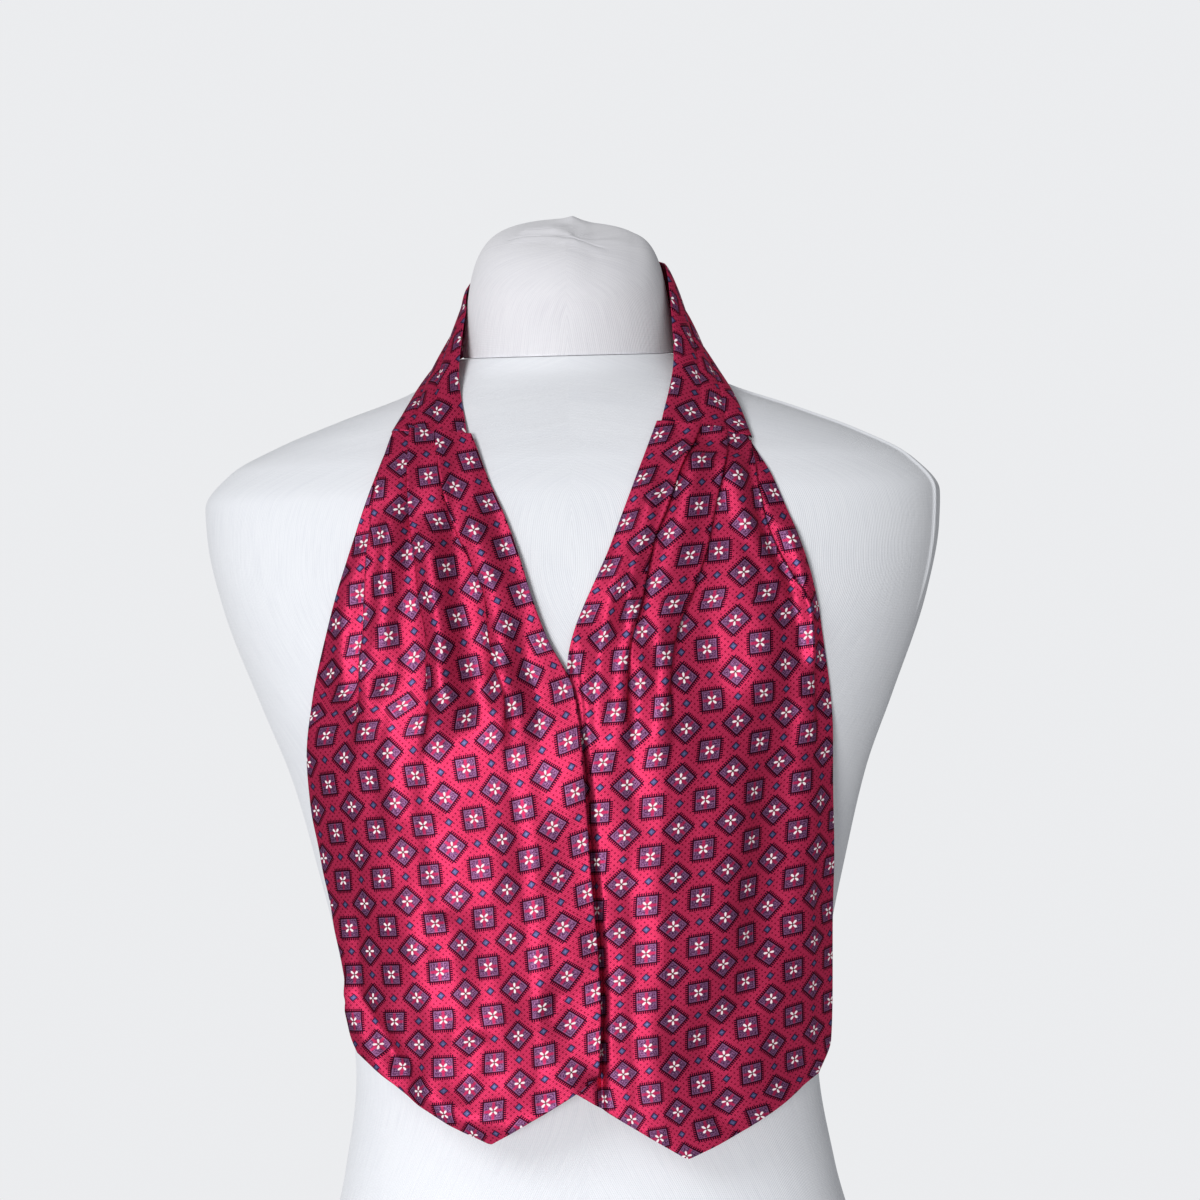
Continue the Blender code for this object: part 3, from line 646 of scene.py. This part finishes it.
def band_edges(side):
    """The band's two edges, from behind the neck to an apron."""
    places = np.linspace(0, 1, BAND_STEPS + 1)
    edges = []
    for column, v in (("top", 0.0), ("low", 1.0)):
        stations = [np.array(getattr(station, column)) for station in (BAND_RIGHT if side > 0 else BAND_LEFT)]
        before = stations[1] * (-1, 1, 1)
        points = [before] + stations + [seam_point(side, v) * (side, 1, 1)]
        points.append(points[-1] * 2 - points[-2])
        edge = []
        for u in places:
            place = u * (len(points) - 3)
            i = min(int(place), len(points) - 4)
            edge.append(curve_point(points[i:i + 4], place - i) * (side, 1, 1))
        edges.append(np.array(edge))
    return places, edges[0], edges[1]


def stand_clear(point):
    """Moves a point of the band out to its clearance from the form."""
    table = TORSO if point[2] < NECK_SEAM_HEIGHT else NECK
    half_width = read(table, "half_width", point[2]) + BAND_CLEARANCE
    front = read(table, "front", point[2]) - BAND_CLEARANCE
    back = read(table, "back", point[2]) + BAND_CLEARANCE
    power = read(table, "squareness", point[2])
    middle = (front + back) / 2
    across = abs(point[0]) / half_width
    deep = abs(point[1] - middle) / ((back - front) / 2)
    scale = max(1.0, (across ** power + deep ** power) ** (1 / power))
    scale = (across ** power + deep ** power) ** (1 / power)
    if scale >= 1:
        return point
    return np.array([point[0] / scale, middle + (point[1] - middle) / scale, point[2]])


def across_band():
    """Places across the band, and how far its panels swell there."""
    places = []
    for start, end in zip(BAND_PANELS, BAND_PANELS[1:]):
        for k in range(PANEL_STRIPS):
            share = k / PANEL_STRIPS
            places.append((start + (end - start) * share, BAND_PUFF * math.sin(math.pi * share) ** 0.5))
    return places + [(1.0, 0.0)]


def band_surface():
    """Middle of the band's cloth, and each point's place on the flat cloth."""
    halves = []
    for side in (-1, 1):
        places, top, low = band_edges(side)
        length = np.gradient((top + low) / 2, axis=0)
        outward = unit(np.cross(length, low - top) * side)
        shifts = [seam_point(side, v) - (top[-1] * (1 - v) + low[-1] * v) for v, puff in across_band()]
        rows = []
        for u, a, b, out in zip(places, top, low, outward):
            share = float(ease(0.70, 1.0, u))
            row = []
            for (v, puff), shift in zip(across_band(), shifts):
                point = a * (1 - v) + b * v
                resting = stand_clear(point) * (1 - share) + (point + shift * share) * share
                row.append(resting + out * puff)
            rows.append(row)
        halves.append(rows)
    points = np.array(halves[0][::-1] + halves[1][1:])
    across = np.cumsum(np.linalg.norm(np.diff(points, axis=1), axis=-1), axis=1)
    across = np.hstack([np.zeros((len(points), 1)), across])
    down = np.cumsum(np.linalg.norm(np.diff(points.mean(axis=1), axis=0), axis=-1))
    down = np.concatenate([[0], down])[:, None] + np.zeros(across.shape)
    return points, np.stack([across, down], axis=-1)


def ring_angles():
    """Angles round the form, closer together at the shoulder seams."""
    even = np.linspace(0, 2 * math.pi, RING_POINTS + 1) - math.pi / 2
    near = [seam + math.radians(2.4) * np.linspace(-1, 1, 19) for seam in SHOULDER_SEAMS]
    return np.unique(np.round(np.concatenate([even] + near), 6))


def form_ring(table, z):
    """A rounded section of the form."""
    half_width = read(table, "half_width", z)
    front = read(table, "front", z)
    back = read(table, "back", z)
    power = 2 / read(table, "squareness", z)
    angle = ring_angles()
    c, s = np.cos(angle), np.sin(angle)
    x = half_width * np.sign(c) * np.abs(c) ** power
    y = (front + back) / 2 + (back - front) / 2 * np.sign(s) * np.abs(s) ** power
    return x, y


def even_heights(table, low, high, count):
    """Heights of rings that lie evenly spaced over a rounded top."""
    fine = np.linspace(low, high, 2001)
    run = np.hypot(np.diff(read(table, "half_width", fine)), np.diff(fine))
    run = np.concatenate([[0], np.cumsum(run)])
    return np.interp(np.linspace(0, run[-1], count + 1)[1:], run, fine)


def form_surface(table, heights):
    """Rings of points up the form, and each point's place on its jersey cover."""
    rings = []
    uv = []
    for z in heights:
        x, y = form_ring(table, z)
        rings.append(np.stack([x, y, np.full(x.shape, z)], axis=-1))
        around = np.concatenate([[0], np.cumsum(np.hypot(np.diff(x), np.diff(y)))])
        uv.append(np.stack([around - around[-1] / 2, np.full(x.shape, z)], axis=-1))
    return np.array(rings), np.array(uv)


def sink_seam(points, seam_height):
    """Rounds the form's cover in where the neck is sewn on."""
    distance = np.abs(points[..., 2] - seam_height)
    depth = SEAM_DEPTH * np.maximum(0, 1 - distance / SEAM_ROUNDING) ** 2
    across = np.hypot(points[..., 0], points[..., 1])
    return points * np.stack([1 - depth / across, 1 - depth / across, np.ones(across.shape)], axis=-1)


def tilt_seam(points):
    z = points[..., 2]
    near = 1 - ease(0.0, SEAM_TILT_REACH, np.abs(z - NECK_SEAM_HEIGHT))
    lowered = z + SEAM_TILT * points[..., 1] * near
    return np.concatenate([points[..., :2], lowered[..., None]], axis=-1)


def raise_welts(points):
    """The rolled seam along each shoulder, from the neck to the shoulder's end."""
    normals = grid_normals(points)
    normals *= np.sign((normals[..., :2] * points[..., :2]).sum(axis=-1))[..., None]
    angle = ring_angles()
    lift = np.zeros(points.shape[:2])
    for seam in SHOULDER_SEAMS:
        middle = points[:, np.argmin(np.abs(angle - seam))]
        away = np.linalg.norm(points - middle[:, None], axis=-1)
        lift += WELT_HEIGHT * np.exp(-(away / WELT_HALF_WIDTH) ** 2)
    z = points[..., 2]
    lift *= ease(0.470, 0.505, z) * (1 - ease(0.622, 0.630, z))
    return points + normals * lift[..., None]


def fold_height(line, x, y):
    """A fold of jersey: the cloth behind its line overlaps the cloth in front."""
    distance, side, share = near_line(line, x, y)
    behind = -side * distance
    fade = ease(0.0, 0.2, share) * (1 - ease(0.75, 1.0, share))
    overlap = ease(0.0000, 0.0030, behind) - ease(0.004, 0.014, behind)
    groove = np.exp(-(behind / FOLD_GROOVE_WIDTH) ** 2)
    swell = np.exp(-((behind + 0.0048) / 0.0042) ** 2)
    return fade * (FOLD_RISE * overlap - FOLD_GROOVE * groove + FOLD_SWELL * swell)


def gathered_cap(points):
    """The slanting top of the neck, where the jersey is drawn into folds and a small knot."""
    x, y, z = points[..., 0], points[..., 1], points[..., 2]
    on_top = ease(0.642, CAP_TOP, z)
    slant = np.where(y < CAP_LEVEL_AT, CAP_SLANT, CAP_SLANT_BEHIND)
    z = z + slant * (y - CAP_LEVEL_AT) * on_top
    z = z - CAP_DROOP * ease(0.002, 0.018, x) * (1 - ease(0.038, 0.052, x)) * on_top
    dx, dy = x - KNOT_PLACE[0], y - KNOT_PLACE[1]
    away = np.hypot(dx, dy)
    turn = np.arctan2(dy, dx)
    near_knot = np.maximum(0, 1 - away / GATHER_REACH)
    folds = np.sin(GATHERS * turn + 2.4 * np.sin(turn + 0.6) - 60 * away) + 0.4 * np.sin(3 * turn + 1.0)
    behind = 0.15 + 0.85 * ease(-0.002, 0.008, dy)
    z = z + GATHER_HEIGHT * folds * near_knot ** 0.8 * ease(0.000, 0.010, away) * behind * on_top
    for line in (LONG_FOLD, SHORT_FOLD):
        z = z + fold_height(line, x, y) * on_top
    z = z + KNOT_HEIGHT * np.exp(-(away / KNOT_RADIUS) ** 6) * on_top
    peak = np.exp(-(np.abs(dx) / PEAK_HALF_WIDTH) ** 1.3 - ((dy - 0.044) / 0.012) ** 2)
    z = z + PEAK_HEIGHT * peak * on_top
    return np.stack([x, y, z], axis=-1)


def form_object(name, points, uv):
    """A closed surface from rings whose last column repeats the first, with flat ends."""
    rows, columns = points.shape[:2]
    faces = grid_faces(rows, columns).tolist()
    faces = [face[::-1] for face in faces]
    made = mesh_object(name, points.reshape(-1, 3), faces, uv.reshape(-1, 2))
    weld_seam(made, rows, columns)
    return made


def weld_seam(made, rows, columns):
    """Joins the last column of points to the first, and closes both ends."""
    import bmesh
    mesh = bmesh.new()
    mesh.from_mesh(made.data)
    mesh.verts.ensure_lookup_table()
    pairs = {}
    for j in range(rows):
        pairs[mesh.verts[j * columns + columns - 1]] = mesh.verts[j * columns]
    bmesh.ops.weld_verts(mesh, targetmap=pairs)
    edges = [edge for edge in mesh.edges if edge.is_boundary]
    bmesh.ops.holes_fill(mesh, edges=edges, sides=0)
    bmesh.ops.recalc_face_normals(mesh, faces=mesh.faces)
    mesh.to_mesh(made.data)
    mesh.free()


class Field:
    """A number that varies over a surface, made by a material's nodes."""

    def __init__(self, tree, socket):
        self.tree = tree
        self.socket = socket

    def math(self, operation, *others, clamp=False):
        node = self.tree.nodes.new("ShaderNodeMath")
        node.operation = operation
        node.use_clamp = clamp
        for place, value in enumerate((self,) + others):
            if isinstance(value, Field):
                self.tree.links.new(value.socket, node.inputs[place])
            else:
                node.inputs[place].default_value = value
        return Field(self.tree, node.outputs[0])

    def __add__(self, other):
        return self.math("ADD", other)

    def __sub__(self, other):
        return self.math("SUBTRACT", other)

    def __mul__(self, other):
        return self.math("MULTIPLY", other)

    def __truediv__(self, other):
        return self.math("DIVIDE", other)

    def size(self):
        return self.math("ABSOLUTE")

    def least(self, other):
        return self.math("MINIMUM", other)

    def most(self, other):
        return self.math("MAXIMUM", other)

    def below(self, limit, blur):
        """1 where the number is below a limit, 0 above it, with a soft change between."""
        return ((self - limit) * (-1 / blur) + 0.5).math("ADD", 0.0, clamp=True)

    def above(self, limit, blur):
        return ((self - limit) * (1 / blur) + 0.5).math("ADD", 0.0, clamp=True)

    def within(self, low, high, blur):
        return self.below(high, blur) - self.below(low, blur)

    def from_nearest(self, pitch, phase):
        """Distance from the nearest of a row of evenly spaced places, below 0 before it."""
        return ((self / pitch + (0.5 - phase)).math("FRACT") - 0.5) * pitch


def mixed(tree, share, under, over):
    """A colour over another one, by share."""
    node = tree.nodes.new("ShaderNodeMix")
    node.data_type = "RGBA"
    for socket, value in ((node.inputs[0], share), (node.inputs[6], under), (node.inputs[7], over)):
        if isinstance(value, Field):
            tree.links.new(value.socket, socket)
        elif isinstance(value, bpy.types.NodeSocket):
            tree.links.new(value, socket)
        else:
            socket.default_value = value
    return node.outputs[2]


def noise(tree, vector, scale, detail=2.0):
    node = tree.nodes.new("ShaderNodeTexNoise")
    node.inputs["Scale"].default_value = scale
    node.inputs["Detail"].default_value = detail
    tree.links.new(vector, node.inputs["Vector"])
    return Field(tree, node.outputs["Fac"])


def bump(tree, height, distance, strength=1.0, before=None):
    node = tree.nodes.new("ShaderNodeBump")
    node.inputs["Strength"].default_value = strength
    node.inputs["Distance"].default_value = distance
    tree.links.new(height.socket, node.inputs["Height"])
    if before is not None:
        tree.links.new(before, node.inputs["Normal"])
    return node.outputs["Normal"]


def new_material(name, roughness, sheen, sheen_roughness, specular):
    made = bpy.data.materials.new(name)
    made.use_nodes = True
    shader = made.node_tree.nodes["Principled BSDF"]
    shader.inputs["Roughness"].default_value = roughness
    shader.inputs["Sheen Weight"].default_value = sheen
    shader.inputs["Sheen Roughness"].default_value = sheen_roughness
    shader.inputs["Specular IOR Level"].default_value = specular
    return made, made.node_tree, shader


def cloth_place(tree):
    """Place on the flat cloth, across and down, in metres."""
    source = tree.nodes.new("ShaderNodeUVMap")
    source.uv_map = "cloth"
    split = tree.nodes.new("ShaderNodeSeparateXYZ")
    tree.links.new(source.outputs[0], split.inputs[0])
    return source.outputs[0], Field(tree, split.outputs[0]), Field(tree, split.outputs[1])


MM = 0.001
ROSE = (0.740, 0.046, 0.140, 1)
DEEP_ROSE = (0.280, 0.008, 0.042, 1)
DOT_WINE = (0.150, 0.000, 0.018, 1)
FRAME_WINE = (0.022, 0.000, 0.010, 1)
CRIMSON = (0.560, 0.018, 0.095, 1)
LILAC = (0.420, 0.190, 0.380, 1)
MAUVE = (0.220, 0.088, 0.215, 1)
PLUM = (0.062, 0.015, 0.052, 1)
NAVY = (0.028, 0.010, 0.042, 1)
BLUE = (0.085, 0.085, 0.220, 1)
PALE_BLUE = (0.240, 0.240, 0.440, 1)
WHITE = (0.930, 0.850, 0.880, 1)
LEAF = (0.060, 0.075, 0.050, 1)

# The framed flower, in millimetres from its middle
FRAME_IN, FRAME_OUT = 5.35, 6.10
LINE_IN, LINE_OUT = 4.85, 5.20
TICK_END, TICK_PITCH, TICK_HALF = 7.45, 1.23, 0.41
CROSS_HALF = 0.80
FLOWER_RADIUS = 2.90
PETAL_MIDDLE, PETAL_HALF_LENGTH = 1.80, 1.28
DOT_RADIUS = 0.48
DIAMOND_OUT, DIAMOND_IN = 2.60, 1.70


def foulard():
    """Rose silk twill with framed four-petalled flowers on a square repeat."""
    made, tree, shader = new_material("foulard", 0.44, 0.04, 0.35, 0.50)
    vector, u, v = cloth_place(tree)
    straight_x = u.from_nearest(REPEAT_ACROSS, 0.0)
    straight_y = v.from_nearest(REPEAT_DOWN, 0.0)
    half_x = u.from_nearest(REPEAT_ACROSS, 0.5)
    half_y = v.from_nearest(REPEAT_DOWN, 0.5)
    turned_x = (half_x + half_y) * math.sqrt(0.5)
    turned_y = (half_y - half_x) * math.sqrt(0.5)
    straight_size = straight_x.size().most(straight_y.size())
    turned_size = turned_x.size().most(turned_y.size())
    nearer = (straight_size - turned_size).below(0.0, 0.01 * MM)
    x = ((straight_x - turned_x) * nearer + turned_x).size() / MM
    y = ((straight_y - turned_y) * nearer + turned_y).size() / MM
    edge = x.most(y)
    side = x.least(y)
    radius = (x * x + y * y).math("SQRT")
    diagonal = (x + y) * math.sqrt(0.5)
    off_diagonal = (x - y) * math.sqrt(0.5)

    twill = ((u + v) * (2 * math.pi / (1.15 * MM))).math("SINE")
    cloud = noise(tree, vector, 90.0)
    thread = noise(tree, vector, 1900.0, 1.0)
    ground = mixed(tree, twill * 0.34 + thread * 0.80 + cloud * 0.20 - 0.14, ROSE, DEEP_ROSE)

    dots = None
    for phase in (0.25, 0.75):
        a = u.from_nearest(REPEAT_ACROSS / 8, phase) / MM
        b = v.from_nearest(REPEAT_DOWN / 8, phase) / MM
        spot = (a * a + b * b).math("SQRT").below(DOT_RADIUS, 0.25)
        dots = spot if dots is None else dots.most(spot)
    colour = mixed(tree, dots * edge.above(TICK_END + 0.3, 0.2) * 0.95, ground, DOT_WINE)

    ticks = side.from_nearest(TICK_PITCH, 0.5).size().below(TICK_HALF, 0.16) * side.below(FRAME_OUT, 0.2)
    colour = mixed(tree, edge.within(FRAME_IN, TICK_END, 0.15) * ticks, colour, FRAME_WINE)
    mottle = noise(tree, vector, 1300.0, 1.5)
    patch = ((mottle - 0.5) * 5.0 + 0.5).math("ADD", 0.0, clamp=True)
    inside = mixed(tree, patch, PLUM, MAUVE)
    cross = side.below(CROSS_HALF, 0.4).most(radius.below(FLOWER_RADIUS, 0.4))
    inside = mixed(tree, cross * 0.75, inside, CRIMSON)
    petal_blob = side.within(2.1, 2.45, 0.2).most(edge.within(3.7, 4.0, 0.2)) * side.above(1.5, 0.3)
    inside = mixed(tree, petal_blob * patch * 0.75, inside, LILAC)
    inside = mixed(tree, edge.within(LINE_IN, LINE_OUT, 0.15) * 0.45, inside, LILAC)
    colour = mixed(tree, edge.below(FRAME_IN, 0.15), colour, inside)
    colour = mixed(tree, edge.within(FRAME_IN, FRAME_OUT, 0.15), colour, FRAME_WINE)

    petal_width = diagonal * 0.16 + 0.34
    petal = ((diagonal - PETAL_MIDDLE) / PETAL_HALF_LENGTH).math("POWER", 2.0)
    petal = (petal + (off_diagonal / petal_width).math("POWER", 2.0)).below(1.0, 0.25)
    colour = mixed(tree, petal, colour, WHITE)
    colour = mixed(tree, side.below(0.20, 0.1) * edge.below(1.05, 0.2), colour, LEAF)

    diamond = (half_x.size() + straight_y.size()).least(straight_x.size() + half_y.size()) / MM
    colour = mixed(tree, diamond.below(DIAMOND_OUT, 0.2), colour, NAVY)
    colour = mixed(tree, diamond.below(DIAMOND_IN, 0.2), colour, BLUE)
    colour = mixed(tree, diamond.below(0.9, 0.3) * patch * 0.7, colour, PALE_BLUE)

    back = tree.nodes.new("ShaderNodeAttribute")
    back.attribute_name = "reverse"
    worn = mixed(tree, Field(tree, back.outputs["Fac"]) * 0.45, colour, (0.30, 0.035, 0.07, 1))
    tree.links.new(worn, shader.inputs["Base Color"])
    shader.inputs["Sheen Tint"].default_value = (1.0, 0.55, 0.65, 1)
    shader.inputs["Specular Tint"].default_value = (1.0, 0.34, 0.46, 1)
    tree.links.new((petal * -0.75 + 0.75).socket, shader.inputs["Metallic"])
    tree.links.new((cloud * 0.10 + 0.45).socket, shader.inputs["Roughness"])
    weave = bump(tree, twill * 0.5 + thread, 0.05 * MM, 0.6)
    wrinkle = bump(tree, noise(tree, vector, 120.0, 3.0), 0.8 * MM, 0.35, weave)
    tree.links.new(wrinkle, shader.inputs["Normal"])
    return made


JERSEY_WHITE = (0.88, 0.90, 0.94, 1)
JERSEY_SHADE = (0.70, 0.725, 0.79, 1)
NECK_WHITE = (0.83, 0.825, 0.86, 1)
NECK_SHADE = (0.62, 0.615, 0.67, 1)


def jersey(name, light, dark):
    """Fine white knit, with its wales running up and down."""
    made, tree, shader = new_material(name, 0.85, 0.35, 0.6, 0.25)
    vector, u, v = cloth_place(tree)
    drift = noise(tree, vector, 60.0) * 0.0012
    wale = ((u + drift) * (2 * math.pi / (1.15 * MM))).math("SINE")
    course = (v * (2 * math.pi / (0.9 * MM))).math("SINE")
    stretched = tree.nodes.new("ShaderNodeMapping")
    stretched.inputs["Scale"].default_value = (1.0, 0.06, 1.0)
    tree.links.new(vector, stretched.inputs["Vector"])
    streak = noise(tree, stretched.outputs[0], 700.0, 2.0)
    cloud = noise(tree, vector, 14.0, 3.0)
    shade = (streak - 0.5) * 0.80 + (cloud - 0.5) * 0.5 + wale * 0.12 + 0.12
    tree.links.new(mixed(tree, shade.math("ADD", 0.0, clamp=True), light, dark),
                   shader.inputs["Base Color"])
    ribs = bump(tree, wale * 0.5 + course * 0.2 + streak, 0.12 * MM, 0.7)
    tree.links.new(bump(tree, noise(tree, vector, 30.0, 2.0), 1.0 * MM, 0.12, ribs), shader.inputs["Normal"])
    return made


FLOOR_SHOWN = 0.40
FLOOR_GONE = 0.62
FLOOR_GLOW = 0.18


def stage_material():
    """A pale floor that fades into the pale background round it."""
    made, tree, shader = new_material("pale_floor", 0.9, 0.0, 0.5, 0.2)
    place = tree.nodes.new("ShaderNodeTexCoord")
    cloud = noise(tree, place.outputs["Object"], 3.0)
    tree.links.new(mixed(tree, cloud, (0.90, 0.91, 0.93, 1), (0.86, 0.87, 0.89, 1)),
                   shader.inputs["Base Color"])
    length = tree.nodes.new("ShaderNodeVectorMath")
    length.operation = "LENGTH"
    tree.links.new(place.outputs["Object"], length.inputs[0])
    middle = (FLOOR_SHOWN + FLOOR_GONE) / 2
    shown = Field(tree, length.outputs["Value"]).below(middle, FLOOR_GONE - FLOOR_SHOWN)
    tree.links.new(shown.socket, shader.inputs["Alpha"])
    shader.inputs["Emission Color"].default_value = (0.97, 0.98, 1.0, 1)
    shader.inputs["Emission Strength"].default_value = FLOOR_GLOW
    return made


def place_piece(made, material, node):
    made.data.materials.clear()
    made.data.materials.append(material)
    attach(made, "root")
    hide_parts(node)
    return made


# The silk pieces
silk = foulard()
apron_meshes = {}
for apron, creases, node, seed in ((UNDER, UNDER_CREASES, "apron_under", 5),
                                   (OVER, OVER_CREASES, "apron_over", 11)):
    points, uv = apron_surface(apron, creases, seed)
    made = cloth_shell(apron.name, points, uv, np.array([0, -1, 0]))
    place_piece(made, silk, node)
    apron_meshes[apron.name] = (points, uv)
band_points, band_uv = band_surface()
band = cloth_shell("neck_band_silk", band_points, band_uv, np.array([0, 1, 0]))
place_piece(band, silk, "neck_band")

# The form
knit = jersey("jersey", JERSEY_WHITE, JERSEY_SHADE)
neck_knit = jersey("neck_jersey", NECK_WHITE, NECK_SHADE)
torso_heights = np.concatenate([np.linspace(0, 0.006, 4), np.linspace(0.009, 0.500, 100),
                                np.linspace(0.503, 0.6300, 80), np.linspace(0.6304, 0.6320, 6)])
torso_points, torso_uv = form_surface(TORSO, torso_heights)
torso_points = tilt_seam(sink_seam(raise_welts(torso_points), NECK_SEAM_HEIGHT))
torso = form_object("torso_jersey", torso_points, torso_uv)
place_piece(torso, knit, "dress_form_torso")
neck_heights = np.concatenate([np.linspace(0.6323, 0.6340, 6), np.linspace(0.6355, CAP_RIM, 34),
                               even_heights(NECK, CAP_RIM, CAP_TOP, CAP_RINGS)])
neck_points, neck_uv = form_surface(NECK, neck_heights)
crown = neck_points[-1:] * np.stack([[s, s, 1] for s in (0.85, 0.7, 0.55, 0.4, 0.25, 0.1)])[:, None]
neck_points = tilt_seam(sink_seam(gathered_cap(np.concatenate([neck_points, crown])), 0.6323))
neck_uv = np.concatenate([neck_uv, np.repeat(neck_uv[-1:], len(crown), axis=0)])
neck = form_object("neck_jersey", neck_points, neck_uv)
place_piece(neck, neck_knit, "dress_form_neck_cap")


# Floor, light and camera
def area_light(name, place, aim, size, energy, colour):
    data = bpy.data.lights.new(name, "AREA")
    data.shape = "DISK"
    data.size = size
    data.energy = energy
    data.color = colour
    made = bpy.data.objects.new(name, data)
    made.location = place
    made.rotation_euler = (Vector(aim) - Vector(place)).to_track_quat("-Z", "Y").to_euler()
    bpy.context.scene.collection.objects.link(made)


floor = mesh_object("floor", np.array([(-30, -30, -0.0005), (30, -30, -0.0005), (30, 30, -0.0005),
                                       (-30, 30, -0.0005)], float), [(0, 1, 2, 3)])
floor.data.materials.append(stage_material())

SKY_SEEN = 0.86             # the plain background
SKY_LIGHT = 0.29            # what it gives as fill


def studio_world():
    """A pale background that lights the object less than it shows."""
    world = bpy.data.worlds.new("studio")
    world.use_nodes = True
    tree = world.node_tree
    background = tree.nodes["Background"]
    background.inputs["Color"].default_value = (0.97, 0.98, 1.0, 1)
    path = tree.nodes.new("ShaderNodeLightPath")
    strength = tree.nodes.new("ShaderNodeMapRange")
    strength.inputs["To Min"].default_value = SKY_LIGHT
    strength.inputs["To Max"].default_value = SKY_SEEN
    tree.links.new(path.outputs["Is Camera Ray"], strength.inputs["Value"])
    tree.links.new(strength.outputs["Result"], background.inputs["Strength"])
    bpy.context.scene.world = world


def sun_light(name, towards, strength, spread, colour):
    data = bpy.data.lights.new(name, "SUN")
    data.energy = strength
    data.angle = math.radians(spread)
    data.color = colour
    made = bpy.data.objects.new(name, data)
    made.rotation_euler = Vector(towards).to_track_quat("-Z", "Y").to_euler()
    bpy.context.scene.collection.objects.link(made)


studio_world()
sun_light("key", (0.50, 0.66, -0.56), 0.85, 24, (0.97, 0.985, 1.0))
sun_light("front", (0.30, 0.95, 0.04), 1.74, 16, (1.0, 0.99, 0.985))
bpy.context.scene.view_settings.view_transform = "Standard"

CAMERA_PLACE = (0.0144, -1.6, 0.4891)
CAMERA_LENS = 82.05
CAMERA_ROLL = math.radians(1.485)
camera_data = bpy.data.cameras.new("camera")
camera_data.lens = CAMERA_LENS
camera_data.sensor_width = 36
camera = bpy.data.objects.new("camera", camera_data)
c, s = math.cos(CAMERA_ROLL), math.sin(CAMERA_ROLL)
camera.matrix_world = Matrix(((c, s, 0, CAMERA_PLACE[0]), (0, 0, -1, CAMERA_PLACE[1]),
                              (-s, c, 0, CAMERA_PLACE[2]), (0, 0, 0, 1)))
bpy.context.scene.collection.objects.link(camera)
bpy.context.scene.camera = camera
